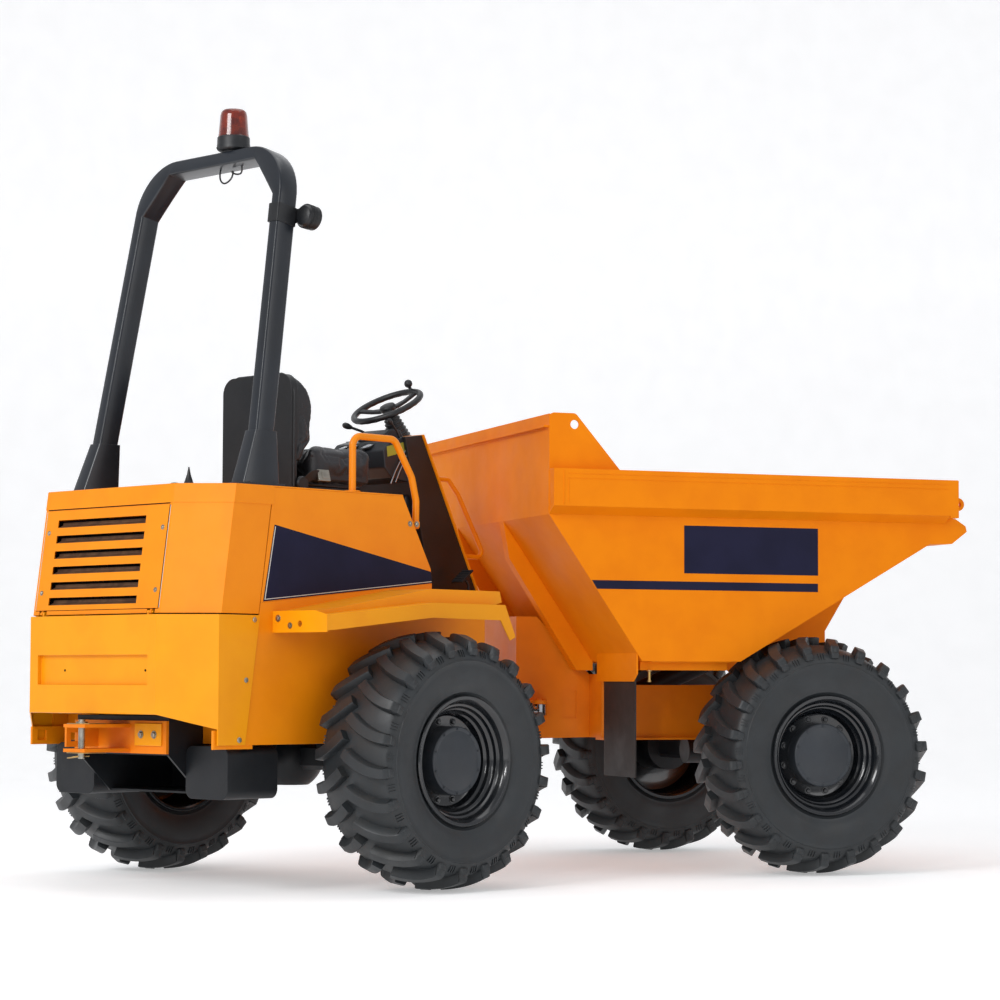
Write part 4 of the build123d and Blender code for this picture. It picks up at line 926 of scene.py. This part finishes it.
hitch = {
    "wear": [(-2.402, -0.045), (-2.402, 0.045), (-2.375, 0.066), (-2.285, 0.066), (-2.285, -0.066),
             (-2.375, -0.066)],
    "wearLevels": ((0.5680, 0.5712), (0.6862, 0.6895)),
    "bracket": ((-2.172, -0.275, 0.598), (-2.1645, -0.105, 0.690)),
    "boltFace": -2.1722, "boltLevel": 0.644, "bolts": (-0.232, -0.148),
    "washer": [(0, 0), (0.0165, 0), (0.0165, 0.002), (0, 0.002)],
    "head": [(0, 0.002), (0.0115, 0.002), (0.0115, 0.008), (0.010, 0.0095), (0, 0.0095)],
    "clip": [(-2.376, 0, 0.556), (-2.392, 0.02, 0.552), (-2.395, 0.05, 0.548), (-2.375, 0.068, 0.546),
             (-2.35, 0.06, 0.549), (-2.344, 0.03, 0.553), (-2.344, -0.03, 0.556)],
    "clipBend": 0.016, "clipThick": 0.0022,
}


def makeHitch():
    bm = bmesh.new()
    for low, high in hitch["wearLevels"]:
        addPrism(bm, hitch["wear"], "Z", low, high)
    rearPiece(bm, "hitch_wear_plates", yellowZinc, "tow_hitch", bevel=0.0008)
    bm = bmesh.new()
    addBox(bm, *hitch["bracket"])
    # the bracket takes the lighter copy of the body paint, painted light
    rearPiece(bm, "hitch_bracket", litBodyPaint, "tow_hitch", bevel=0.003)
    bm = bmesh.new()
    for y in hitch["bolts"]:
        place = facingPlace((hitch["boltFace"], y, hitch["boltLevel"]), rearward)
        addLathe(bm, hitch["washer"], 24, place)
        addLathe(bm, hitch["head"], 6, place)
    rearPiece(bm, "hitch_bolts", platedSteel, "tow_hitch", bevel=0.0004)
    bm = bmesh.new()
    addTube(bm, roundPath(hitch["clip"], hitch["clipBend"], 4), hitch["clipThick"], 8)
    rearPiece(bm, "hitch_clip", yellowZinc, "tow_pin")


makeLouvrePlate()
makeVanesAndCore()
makeLouvreTrim()
makeCoverBand()
makeWedges()
makeRearFittings()
makeHitch()
print("rear bodywork made")

# seat: two swollen cushions with sewn channels, belt and shell trim
seat = {
    "voxel": 0.006, "frames": 20, "pressure": 4.0, "backCap": 0.009, "baseCap": 0.012,
    "backFoot": 1.806, "backHeight": 0.392, "backFace": -1.394,
    # thickness of the back at shares of its height, as it should be and as the plain form has it
    "wanted": [(0, 0.026), (0.12, 0.046), (0.3, 0.080), (0.52, 0.094), (0.75, 0.078), (1, 0.022)],
    "present": [(0, 0.070), (0.12, 0.090), (0.4, 0.085), (0.75, 0.050), (1, 0.010)],
    # sewn lines of the back: distance from the middle, how far they bow out, depth
    "backLines": ((0.030, 0.012, 0.005), (0.078, 0.026, 0.006), (0.124, 0.034, 0.010)), "backSeam": 1.878,
    "baseLines": (-1.245, -1.165, -1.085, -1.012), "baseEdge": 0.155,
}


def meltedForm(node):
    # closed even mesh of a solid piece in the rear body's own frame
    bm = bmesh.new()
    bm.from_mesh(frame["nodes"][node].data)
    bmesh.ops.remove_doubles(bm, verts=bm.verts, dist=2e-5)
    bm.transform(rearPlace.inverted())
    mesh = bpy.data.meshes.new(node + "_form")
    bm.to_mesh(mesh)
    bm.free()
    form = bpy.data.objects.new(node + "_form", mesh)
    bpy.context.scene.collection.objects.link(form)
    remesh = form.modifiers.new("even", "REMESH")
    remesh.mode, remesh.voxel_size = "VOXEL", seat["voxel"]
    return settle(form)


def settle(form):
    # modifiers applied to the object's own mesh
    baked = bpy.data.meshes.new_from_object(form.evaluated_get(bpy.context.evaluated_depsgraph_get()))
    form.modifiers.clear()
    old = form.data
    form.data = baked
    bpy.data.meshes.remove(old)
    return form


def swell(form, cap):
    # the form blown up as cloth, each point's way limited, then made finer
    rest = [v.co.copy() for v in form.data.vertices]
    cloth = form.modifiers.new("padding", "CLOTH")
    cloth.settings.use_pressure = True
    cloth.settings.uniform_pressure_force = seat["pressure"]
    cloth.settings.quality = 4
    cloth.settings.effector_weights.gravity = 0
    bpy.context.scene.frame_start, bpy.context.scene.frame_end = 1, seat["frames"]
    for step in range(1, seat["frames"] + 1):
        bpy.context.scene.frame_set(step)
    settle(form)
    drift = sum((v.co - r for v, r in zip(form.data.vertices, rest)), Vector()) / len(rest)
    for v, r in zip(form.data.vertices, rest):
        move = v.co - r - drift
        v.co = r + move * min(1, cap / max(move.length, 1e-9))
    form.modifiers.new("finer", "SUBSURF").levels = 1
    return settle(form)


def groove(distance, width, depth):
    return -depth * math.exp(-(distance / width) ** 2)


def curveAt(points, at):
    # smooth steps through (share, value) pairs
    for (a, u), (b, v) in zip(points, points[1:]):
        if at <= b:
            t = (at - a) / (b - a)
            return u + (v - u) * t * t * (3 - 2 * t)
    return points[-1][1]


def backShare(z):
    return min(max((z - seat["backFoot"]) / seat["backHeight"], 0), 1)


def backOutline(co):
    # fuller in the middle of the back, drawn in at its foot
    height = backShare(co.z)
    side = min(1, max(0, (abs(co.y) - 0.09) / 0.06))
    start = seat["backFace"]
    if co.x > start:
        wanted, present = curveAt(seat["wanted"], height), curveAt(seat["present"], height)
        co.x = start + (co.x - start) * ((wanted / present) * (0.80 + 0.20 * side))


def backRelief(co):
    # sewn lines that bow outwards, and side bolsters that stand forward low down
    bow = math.sin(math.pi * backShare(co.z))
    side = abs(co.y)
    lift = sum(groove(side - start - reach * bow, 0.0042, depth) for start, reach, depth in seat["backLines"])
    bolster = max(0, side - 0.130 - 0.030 * bow) / 0.06
    seam = groove(co.z - seat["backSeam"], 0.005, 0.005) * (side < 0.12)
    return lift + 0.010 * min(bolster, 1) ** 0.7 * bow + seam


def baseRelief(co):
    # a line along each side, cross channels between them and rolls outside
    side = abs(co.y)
    lift = groove(side - seat["baseEdge"], 0.005, 0.009)
    if side < seat["baseEdge"]:
        return lift + sum(groove(co.x - x, 0.006, 0.008) for x in seat["baseLines"])
    return lift + 0.010 * math.sin(math.pi * min(1, (side - seat["baseEdge"]) / 0.075))


def makeCushion(node, name, cap, relief, way, reshape=None):
    form = swell(meltedForm(node), cap)
    if reshape:
        for v in form.data.vertices:
            reshape(v.co)
        form.data.update()
    for v, normal in [(v, v.normal.copy()) for v in form.data.vertices]:
        facing = max(0, normal.dot(Vector(way)))
        if facing > 0.05:
            v.co += normal * relief(v.co) * min(1, facing * 1.6)
    bm = bmesh.new()
    bm.from_mesh(form.data)
    bpy.data.objects.remove(form)
    piece = rearPiece(bm, name, seatVinyl, node, [node], angle=80)


belt = {
    # a strap's route as (x, distance from the middle, z)
    "route": [(-1.372, 0.236, 1.712), (-1.350, 0.245, 1.738), (-1.318, 0.2465, 1.752),
              (-1.290, 0.2465, 1.752)],
    "bend": 0.03, "width": 0.046, "thick": 0.0022, "across": (0.28, 0.96), "anchor": (-1.372, 0.2265, 1.712),
    "buckle": (-1.262, -0.2480, 1.752), "buckleTurn": -16,
    "case": ((-0.034, -0.0065, -0.026), (0.034, 0.0065, 0.026)),
    "button": ((-0.012, -0.0090, -0.016), (0.026, -0.0060, 0.016)),
    "boss": [(0, 0), (0.030, 0), (0.033, 0.004), (0.033, 0.012), (0.028, 0.018), (0, 0.018)],
}
seatTrim = {
    "bellows": 4, "bellowsFoot": 1.672, "bellowsPitch": 0.014, "bellowsThick": 0.0062, "bellowsBend": 0.03,
    "bellowsX": (-1.370, -1.026), "bellowsHalf": 0.198,
    "beadX": -1.412, "beadHalf": (0.2255, 0.155), "beadZ": (1.70, 2.120, 2.1905), "beadBend": 0.05,
    "beadThick": 0.0065,
}


def addStrap(bm, points, width, across, thick):
    across = Vector(across).normalized()
    points = [Vector(p) for p in points]
    rings = []
    for k, p in enumerate(points):
        ahead = (points[min(k + 1, len(points) - 1)] - points[max(k - 1, 0)]).normalized()
        up = ahead.cross(across).normalized()
        corners = ((-1, -1), (1, -1), (1, 1), (-1, 1))
        rings.append([bm.verts.new(p + across * s * width / 2 + up * t * thick / 2) for s, t in corners])
    joinRings(bm, rings)


def makeBelt():
    for hand, side in (("left", 1), ("right", -1)):
        bm = bmesh.new()
        path = roundPath([(x, side * y, z) for x, y, z in belt["route"]], belt["bend"], 5)
        addStrap(bm, path, belt["width"], (0, side * belt["across"][0], belt["across"][1]), belt["thick"])
        rearPiece(bm, f"belt_strap_{hand}", blackPlastic, "seat_frame", bevel=0.0006)
    bm = bmesh.new()
    place = Matrix.Translation(belt["buckle"]) @ Matrix.Rotation(math.radians(belt["buckleTurn"]), 4, "X")
    addBox(bm, *belt["case"], place)
    addBox(bm, *belt["button"], place)
    rearPiece(bm, "belt_buckle", platedSteel, "seat_frame", bevel=0.0030)
    bm = bmesh.new()
    x, y, z = belt["anchor"]
    for side in (-1, 1):
        addLathe(bm, belt["boss"], 28, facingPlace((x, side * y, z), (0, side, 0)))
    rearPiece(bm, "belt_anchors", blackPlastic, "seat_frame", bevel=0.0008)


def makeSeatTrim():
    # bellows round the mount and the shell's rim bead
    t = seatTrim
    bm = bmesh.new()
    back, front = t["bellowsX"]
    half = t["bellowsHalf"]
    for k in range(t["bellows"]):
        z = t["bellowsFoot"] + k * t["bellowsPitch"]
        loop = [(back, -half, z), (front, -half, z), (front, half, z), (back, half, z), (back, -half, z)]
        addTube(bm, roundPath(loop, t["bellowsBend"], 4), t["bellowsThick"], 8)
    rearPiece(bm, "seat_bellows", hoseRubber, "seat_frame")
    bm = bmesh.new()
    wide, narrow = t["beadHalf"]
    low, high, top = t["beadZ"]
    right = [(t["beadX"], -wide, low), (t["beadX"], -wide, high), (t["beadX"], -narrow, top)]
    edge = right + [(x, -y, z) for x, y, z in reversed(right)]
    addTube(bm, roundPath(edge, t["beadBend"], 6), t["beadThick"], 10)
    rearPiece(bm, "seat_shell_bead", blackPlastic, "seat_frame")


makeCushion("seat_back", "back_cushion", seat["backCap"], backRelief, (1, 0, 0), backOutline)
makeCushion("seat_base", "base_cushion", seat["baseCap"], baseRelief, upward)
makeBelt()
makeSeatTrim()
print("seat made")

# operator's station; profiles are (radius, distance along) and side outlines (x, z)
steering = {
    "centre": (-0.640, 0, 2.115), "tilt": -29, "radius": 0.161, "grip": 0.0145, "steps": 96, "gripSteps": 16,
    "fingerDip": 0.0012, "fingers": 24, "spokes": (-20, 100, 220),
    # a spoke's stations: distance out, level, half width, half thickness
    "spoke": ((0.012, -0.014, 0.024, 0.009), (0.045, -0.018, 0.019, 0.008), (0.09, -0.015, 0.0145, 0.0075),
              (0.13, -0.007, 0.0145, 0.0075), (0.158, 0.0, 0.018, 0.008)),
    "hub": [(0, -0.024), (0.030, -0.024), (0.036, -0.016), (0.038, -0.002), (0.034, 0.006), (0.024, 0.0095),
            (0, 0.010)],
    "knobAt": -5, "knobLevel": 0.008, "ball": 0.019, "ballCentre": 0.033, "knobTop": 0.052,
    "stem": [(0, 0), (0.0115, 0), (0.0115, 0.004), (0.0075, 0.008), (0.0075, 0.014)],
}
boot = {"below": 0.216, "folds": 9, "pitch": 0.018, "wide": 0.066, "narrowing": 0.0035, "deep": 0.008,
        "fold": (0, 0.005, 0.010, 0.0155), "neck": [(0.030, 0.164), (0, 0.164)]}
columnWay = Vector((math.sin(math.radians(steering["tilt"])), 0, math.cos(math.radians(steering["tilt"]))))


def makeSteeringWheel():
    w = steering
    place = rearPlace @ Matrix.Translation(w["centre"]) @ Matrix.Rotation(math.radians(w["tilt"]), 4, "Y")
    bm = bmesh.new()
    rings = []
    for k in range(w["steps"]):
        a = 2 * math.pi * k / w["steps"]
        out, up = Vector((math.cos(a), math.sin(a), 0)), Vector(upward)
        ring = []
        for s in range(w["gripSteps"]):
            b = 2 * math.pi * s / w["gripSteps"]
            dip = w["fingerDip"] * (0.5 + 0.5 * math.cos(w["fingers"] * a)) if math.sin(b) < -0.2 else 0
            thick = w["grip"] - dip
            ring.append(bm.verts.new(out * (w["radius"] + thick * math.cos(b)) + up * thick * math.sin(b)))
        rings.append(ring)
    joinRings(bm, rings, capped=False, closed=True)
    for angle in w["spokes"]:
        turn = Matrix.Rotation(math.radians(angle), 4, "Z")
        rings = []
        for reach, level, half, thick in w["spoke"]:
            middle = Vector((reach, 0, level))
            rings.append(roundedRing(bm, middle, Vector((0, 1, 0)), Vector(upward), half, thick, thick * 0.8))
            for v in rings[-1]:
                v.co = turn @ v.co
        joinRings(bm, rings)
    addLathe(bm, w["hub"], 40, facingPlace((0, 0, 0), upward))
    knob = Matrix.Rotation(math.radians(w["knobAt"]), 4, "Z") @ Vector((w["radius"], 0, w["knobLevel"]))
    turns = [math.radians(a) for a in range(25, 176, 10)]
    ball = [(w["ball"] * math.sin(t), w["ballCentre"] - w["ball"] * math.cos(t)) for t in turns]
    addLathe(bm, w["stem"] + ball + [(0, w["knobTop"])], 28, facingPlace(knob, upward))
    makePiece(bm, "steering_wheel_moulding", blackPlastic, nodeBody("steering_wheel"), place,
              ["steering_wheel"], angle=45)


def makeColumn():
    # folded boot round the column
    foot = Vector(steering["centre"]) - columnWay * boot["below"]
    profile = [(0, 0)]
    for k in range(boot["folds"]):
        size = boot["wide"] - boot["narrowing"] * k
        radii = (size - boot["deep"], size, size, size - boot["deep"])
        profile += [(r, boot["pitch"] * k + along) for r, along in zip(radii, boot["fold"])]
    bm = bmesh.new()
    addLathe(bm, profile + boot["neck"], 48, facingPlace(foot, columnWay))
    rearPiece(bm, "column_boot", hoseRubber, "steering_column", angle=50)


dash = {
    "hood": [(-0.706, 1.962), (-0.792, 1.938), (-0.832, 1.894), (-0.822, 1.816), (-0.776, 1.772),
             (-0.668, 1.758)],
    "hoodHalf": 0.176,
    "cowl": [(-0.620, 1.972), (-0.640, 2.004), (-0.700, 2.002), (-0.742, 1.976), (-0.742, 1.950),
             (-0.620, 1.950)],
    "cowlHalf": 0.088, "pedestal": ((-0.666, -0.150, 1.400), (-0.566, 0.150, 1.700)),
    "strip": [(-0.812, 1.912), (-0.706, 1.938), (-0.698, 1.894), (-0.806, 1.866)],
    "stripLevel": (-0.1776, -0.1758), "faceAt": (-0.812, 1.916), "facing": (-0.46, 0, 0.89),
    # gauges as (y, case radius, glass radius)
    "gauges": ((-0.055, 0.034, 0.029), (0.040, 0.027, 0.0225), (0.105, 0.027, 0.0225)),
    # levers as (route, rod radius, knob radius)
    "levers": (([(-0.640, 0.085, 1.975), (-0.700, 0.105, 2.004), (-0.752, 0.118, 2.018)], 0.0062, 0.0145),
               ([(-0.700, -0.150, 1.945), (-0.760, -0.186, 1.985), (-0.800, -0.196, 2.012)], 0.005, 0.011),
               ([(-0.560, 0.226, 1.262), (-0.620, 0.232, 1.560), (-0.690, 0.232, 1.690)], 0.008, 0.018)),
    # knob profile in shares of its radius
    "knob": ((0.75, 0.6), (1, 1.6), (0.95, 2.6), (0.6, 3.2), (0, 3.35)),
    "rods": ([(-0.700, -0.181, 1.900), (-0.772, -0.190, 1.800), (-0.800, -0.192, 1.745)],
             [(-0.682, -0.181, 1.895), (-0.746, -0.190, 1.800), (-0.772, -0.192, 1.752)]), "rodThick": 0.0032,
}


def addLever(bm, points, thin, knob):
    addTube(bm, roundPath(points, 0.03, 4), thin, 10)
    way = (Vector(points[-1]) - Vector(points[-2])).normalized()
    profile = [(0, 0), (thin * 1.2, 0)] + [(knob * r, knob * along) for r, along in dash["knob"]]
    addLathe(bm, profile, 24, facingPlace(Vector(points[-1]) - way * 0.002, way))


def makeDash():
    bm = bmesh.new()
    addPrism(bm, dash["hood"], "Y", -dash["hoodHalf"], dash["hoodHalf"])
    addPrism(bm, dash["cowl"], "Y", -dash["cowlHalf"], dash["cowlHalf"])
    addBox(bm, *dash["pedestal"])
    rearPiece(bm, "dash_hood", shellPlastic, "console", bevel=0.007)
    bm = bmesh.new()
    addPrism(bm, dash["strip"], "Y", *dash["stripLevel"])
    rearPiece(bm, "dash_strip", greenStrip, "console", bevel=0.0006)


def makeGauges():
    cases, glasses = bmesh.new(), bmesh.new()
    x, z = dash["faceAt"]
    for y, size, glass in dash["gauges"]:
        place = facingPlace((x, y, z), Vector(dash["facing"]).normalized())
        case = [(0, 0), (size, 0), (size, 0.006), (size * 0.9, 0.008), (size * 0.88, 0.005), (0, 0.005)]
        addLathe(cases, case, 32, place)
        addLathe(glasses, [(0, 0.0052), (glass, 0.0052), (glass * 0.8, 0.0062), (0, 0.0066)], 32, place)
    rearPiece(cases, "dash_gauges", blackPlastic, "console")
    rearPiece(glasses, "gauge_glass", lampGlass, "console")


def makeLeversAndRods():
    bm = bmesh.new()
    for points, thin, knob in dash["levers"]:
        addLever(bm, points, thin, knob)
    rearPiece(bm, "control_levers", blackPlastic, "console", angle=45)
    bm = bmesh.new()
    for points in dash["rods"]:
        addTube(bm, points, dash["rodThick"], 8)
    rearPiece(bm, "dash_rods", brightSteel, "console")


pedals = {
    "y": 0.285, "arm": ((-0.395, 1.2515), (-0.395, 1.300), (-0.425, 1.335)), "bend": 0.02, "armThick": 0.0065,
    "middle": (-0.436, 1.338), "tilt": -38, "pad": (0.046, 0.034, 0.004), "ribs": 5, "ribStart": -0.040,
    "ribPitch": 0.018, "ribWide": 0.006, "ribHalf": 0.031, "ribTop": 0.0065,
}
# studs in rows along the floor, left out where it narrows towards the front
studs = {
    "rows": 5, "outer": 0.52, "rowPitch": 0.075, "columns": 9, "start": -0.90, "pitch": 0.062,
    "floor": 1.2502, "half": 0.57, "narrowFrom": -0.62, "narrowing": 1.03,
    "shape": [(0, 0), (0.012, 0), (0.009, 0.0018), (0, 0.002)],
}


def makePedals():
    p = pedals
    bm = bmesh.new()
    long, wide, thick = p["pad"]
    for y in (-p["y"], p["y"]):
        addTube(bm, roundPath([(x, y, z) for x, z in p["arm"]], p["bend"], 4), p["armThick"], 10)
        middle = Vector((p["middle"][0], y, p["middle"][1]))
        place = Matrix.Translation(middle) @ Matrix.Rotation(math.radians(p["tilt"]), 4, "Y")
        addBox(bm, (-long, -wide, -thick), (long, wide, thick), place)
        for k in range(p["ribs"]):
            x = p["ribStart"] + k * p["ribPitch"]
            addBox(bm, (x, -p["ribHalf"], thick), (x + p["ribWide"], p["ribHalf"], p["ribTop"]), place)
    rearPiece(bm, "foot_pedals", blackPaint, "floor_plate", bevel=0.001)


def makeFloorStuds():
    bm = bmesh.new()
    for row in range(studs["rows"]):
        out = studs["outer"] - studs["rowPitch"] * row
        for k in range(studs["columns"]):
            x = studs["start"] + k * studs["pitch"]
            if out < studs["half"] - max(0, x - studs["narrowFrom"]) * studs["narrowing"]:
                for y in (-out, out):
                    addLathe(bm, studs["shape"], 12, facingPlace((x, y, studs["floor"]), upward))
    rearPiece(bm, "floor_studs", chassisPaint, "floor_plate")


rail = {"foot": (-1.395, -0.573), "disc": [(0, 0), (0.034, 0), (0.034, 0.005), (0, 0.005)],
        "wall": -0.6055, "bolts": (-1.085, -1.045), "boltLevel": 1.5375, "boltSize": 0.0078}


def makeRailFeet():
    bm = bmesh.new()
    addLathe(bm, rail["disc"], 32, facingPlace((*rail["foot"], deckTop), upward))
    rearPiece(bm, "rail_foot", bodyPaint, "grab_rails", bevel=0.001)
    bm = bmesh.new()
    for x in rail["bolts"]:
        addBolt(bm, (x, rail["wall"], rail["boltLevel"]), (0, -1, 0), rail["boltSize"])
    rearPiece(bm, "rail_bolts", platedSteel, "grab_rails")


makeSteeringWheel()
makeColumn()
makeDash()
makeGauges()
makeLeversAndRods()
makePedals()
makeFloorStuds()
makeRailFeet()
print("operator's station made")

# skip: blank side plates and stripes, the stripe's front end slanted
skipMarks = {
    "plate": [(0.617, 1.350), (1.281, 1.350), (1.281, 1.564), (0.617, 1.564)],
    "stripe": [(0.197, 1.275), (1.280, 1.275), (1.280, 1.313), (0.173, 1.313)],
    "level": (0.9403, 0.9409),
}
# weld beads as (start, end, size)
welds = {
    "back": ((-0.0305, -0.925, 1.984), (-0.0305, 0.925, 1.984), 0.0045),
    "floor": ((0.46, 0.932, 0.9565), (0.85, 0.932, 0.9565), 0.0035),
    "lugs": (((0.90, 0.340, 0.957), (1.30, 0.340, 1.188), 0.0032),
             ((0.90, 0.352, 0.957), (1.30, 0.352, 1.188), 0.0032)),
    "cap": ((-0.0295, 0.9405, 1.604), (-0.0295, 0.9405, 1.796), 0.0036), "ripple": 0.006,
}
# folds along the rim's outer face and round its end cap as (start, end, radius)
rimFolds = [((0.035, 1.0, 1.778), (1.925, 1.0, 1.778), 0.0017),
            ((0.035, 1.0, 1.757), (1.925, 1.0, 1.757), 0.0017),
            ((0.018, 1.0, 1.642), (0.018, 1.0, 1.790), 0.0024),
            ((0.040, 1.0, 1.650), (0.040, 1.0, 1.757), 0.0017)]


def frontPiece(bm, name, material, node, bevel=0.0):
    makePiece(bm, name, material, nodeBody(node), frontPlace, bevel=bevel)


def mirrored(point, side):
    return Vector((point[0], side * point[1], point[2]))


def makeSkipMarks():
    for hand, side in (("left", 1), ("right", -1)):
        bm = bmesh.new()
        for mark in ("plate", "stripe"):
            addSidePlate(bm, skipMarks[mark], side, *skipMarks["level"])
        frontPiece(bm, f"skip_marks_{hand}", navyDecal, "skip_shell")


def addBead(bm, start, end, size):
    # weld bead of overlapping ripples
    start, end = Vector(start), Vector(end)
    count = max(3, int((end - start).length / welds["ripple"]))
    path = [start.lerp(end, k / count) for k in range(count + 1)]
    sizes = [size * (1 + 0.10 * math.sin(k * 1.9) + 0.05 * math.sin(k * 0.7)) for k in range(count + 1)]
    addTube(bm, path, sizes, 8)


def makeRimLines():
    bm = bmesh.new()
    for side in (-1, 1):
        for start, end, thick in rimFolds:
            addTube(bm, [mirrored(start, side), mirrored(end, side)], thick, 6)
        start, end, size = welds["cap"]
        addBead(bm, mirrored(start, side), mirrored(end, side), size)
    frontPiece(bm, "rim_fold_lines", shadedSkipPaint, "skip_rim")


def makeWelds():
    bm = bmesh.new()
    addBead(bm, *welds["back"])
    for side in (-1, 1):
        for start, end, size in (welds["floor"], *welds["lugs"]):
            addBead(bm, mirrored(start, side), mirrored(end, side), size)
    frontPiece(bm, "skip_weld_beads", shadedSkipPaint, "skip_shell")


# rams: pins, ports at distances from the barrel's pin, height of a port above the ram's middle line
tipRam = {"base": (0.620, 0, 0.740), "eye": (1.300, 0, 1.030), "ports": (0.075, 0.150), "top": 0.0515}
steerRam = {"base": (-0.680, -0.350, 0.735), "eye": (0.150, -0.350, 0.735), "ports": (0.080, 0.160),
            "top": 0.0375}
port = {"nut": [(0, -0.004), (0.015, -0.004), (0.015, 0.010), (0.0135, 0.012), (0, 0.012)],
        "ferrule": [(0, 0.012), (0.010, 0.012), (0.010, 0.018), (0.0125, 0.020), (0.0125, 0.034),
                    (0.0105, 0.036), (0, 0.036)]}


def makePorts(name, node, ram, base):
    # hose adaptors on a barrel, square to it and as upright as they can be
    way = (Vector(ram["eye"]) - base).normalized()
    up = (Vector(upward) - way * way.z).normalized()
    bm = bmesh.new()
    for reach in ram["ports"]:
        place = facingPlace(base + way * reach + up * ram["top"], up)
        addLathe(bm, port["nut"], 6, place)
        addLathe(bm, port["ferrule"], 24, place)
    frontPiece(bm, name, yellowZinc, node, bevel=0.0004)


stayPin = {"top": (0.462, -0.906, 0.9165),
           "shape": [(0, 0), (0.0125, 0), (0.0125, 0.004), (0.0065, 0.005), (0.0065, 0.044), (0.0095, 0.045),
                     (0.0095, 0.052), (0, 0.053)]}


def makeStayPin():
    # plated pin that hangs beside the flap
    bm = bmesh.new()
    addLathe(bm, stayPin["shape"], 20, facingPlace(stayPin["top"], (0, 0, -1)))
    frontPiece(bm, "stay_pin", yellowZinc, "skip_underframe")


makeStayPin()
makeSkipMarks()
makeRimLines()
makeWelds()
makePorts("tip_ram_ports", "tip_ram_barrel", tipRam, Vector(tipRam["base"]))
lockTurn = Matrix.Rotation(math.radians(layout["lock"]), 3, "Z")
makePorts("steer_ram_ports", "steer_ram_barrel", steerRam, lockTurn @ Vector(steerRam["base"]))
print("skip and rams made")

# everything else is the solid model's own shape with softened edges
# the skip takes the darker copy of the body paint, painted shade; the bumper and fenders take the lighter
# copy, painted light
ownFinish = {"skip_shell": shadedSkipPaint, "skip_rim": shadedSkipPaint, "skip_underframe": shadedSkipPaint,
             "bumper": litBodyPaint, "fenders": litBodyPaint}
ownEdge = {"bumper": 0.0035, "engine_cover": 0.0028, "side_cowls": 0.0016, "steer_ram_barrel": 0.0005,
           "steer_ram_rod": 0.0005, "tip_ram_barrel": 0.0005, "tip_ram_rod": 0.0005}
finished = {name for piece in bpy.data.objects for name in piece.get("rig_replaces", [])}
for part in frame["record"]["subparts"]:
    if part["node"] not in finished:
        node, slot = part["node"], part["material_slot"]
        dressNode(node, ownFinish.get(node, slotFinish[slot]), ownEdge.get(node, 0.002))
print("plain pieces dressed")

# studio: floor that curves up into the backdrop, lamps, sky and camera
studio = {"turn": -19.893, "half": 40, "near": -30, "bendFrom": 9, "bend": 5, "top": 16}
# lamps as (place, aim, size, power)
lamps = {"keyLight": ((-9, -6, 7), (0, 0, 1.2), (5, 4), 630),
         "fillLight": ((6, -9, 5), (0.5, 0, 1), (6, 4), 120),
         "topLight": ((0, 0, 9), (0, 0, 0), (7, 7), 170),
         "edgeLight": ((-5.5, -9.5, 3.2), (-0.4, 0, 1.2), (0.5, 2.2), 110)}
sky = {"colour": (0.93, 0.95, 1, 1), "strength": 0.5}
view = {"place": (-4.2445, -11.912, 0.871), "lens": 99.17, "sensor": 36, "pitch": 93.739, "roll": 0.191}
floorPaint = surface("floorPaint", linear(236, 236, 236), linear(232, 232, 232), roughness=0.8, depth=0.0,
                     Emission_Color=(1, 1, 1, 1), Emission_Strength=0.34)


def makeFloor():
    bm = bmesh.new()
    start, bend = studio["bendFrom"], studio["bend"]
    turns = [math.radians(a) for a in range(8, 91, 8)]
    curve = [(start + bend * math.sin(t), bend - bend * math.cos(t)) for t in turns]
    profile = [(studio["near"], 0), (start, 0)] + curve + [(start + bend, studio["top"])]
    rings = [[bm.verts.new((x, y, z)) for x in (-studio["half"], studio["half"])] for y, z in profile]
    for a, b in zip(rings, rings[1:]):
        bm.faces.new((a[0], a[1], b[1], b[0]))
    for face in bm.faces:
        face.smooth = True
    bm.transform(Matrix.Rotation(math.radians(studio["turn"]), 4, "Z"))
    mesh = bpy.data.meshes.new("studio_floor")
    bm.to_mesh(mesh)
    bm.free()
    floor = bpy.data.objects.new("studio_floor", mesh)
    mesh.materials.append(floorPaint)
    bpy.context.scene.collection.objects.link(floor)


def areaLight(name, place, aim, size, power):
    light = bpy.data.lights.new(name, "AREA")
    light.shape, light.size, light.size_y = "RECTANGLE", *size
    light.energy = power
    lamp = bpy.data.objects.new(name, light)
    lamp.location = place
    lamp.rotation_euler = (Vector(aim) - Vector(place)).to_track_quat("-Z", "Y").to_euler()
    bpy.context.scene.collection.objects.link(lamp)


def makeCamera():
    lens = bpy.data.cameras.new("sceneCamera")
    lens.lens, lens.sensor_width, lens.sensor_height = view["lens"], view["sensor"], view["sensor"]
    camera = bpy.data.objects.new("sceneCamera", lens)
    placed = Matrix.Translation(view["place"])
    for degrees, axis in ((studio["turn"], "Z"), (view["pitch"], "X"), (view["roll"], "Z")):
        placed = placed @ Matrix.Rotation(math.radians(degrees), 4, axis)
    camera.matrix_world = placed
    bpy.context.scene.collection.objects.link(camera)
    bpy.context.scene.camera = camera


makeFloor()
for name, settings in lamps.items():
    areaLight(name, *settings)
world = bpy.data.worlds.new("studioWorld")
bpy.context.scene.world = world
world.use_nodes = True
background = world.node_tree.nodes["Background"]
background.inputs["Color"].default_value = sky["colour"]
background.inputs["Strength"].default_value = sky["strength"]
makeCamera()
bpy.context.scene.view_settings.view_transform = "Standard"
print("studio made")
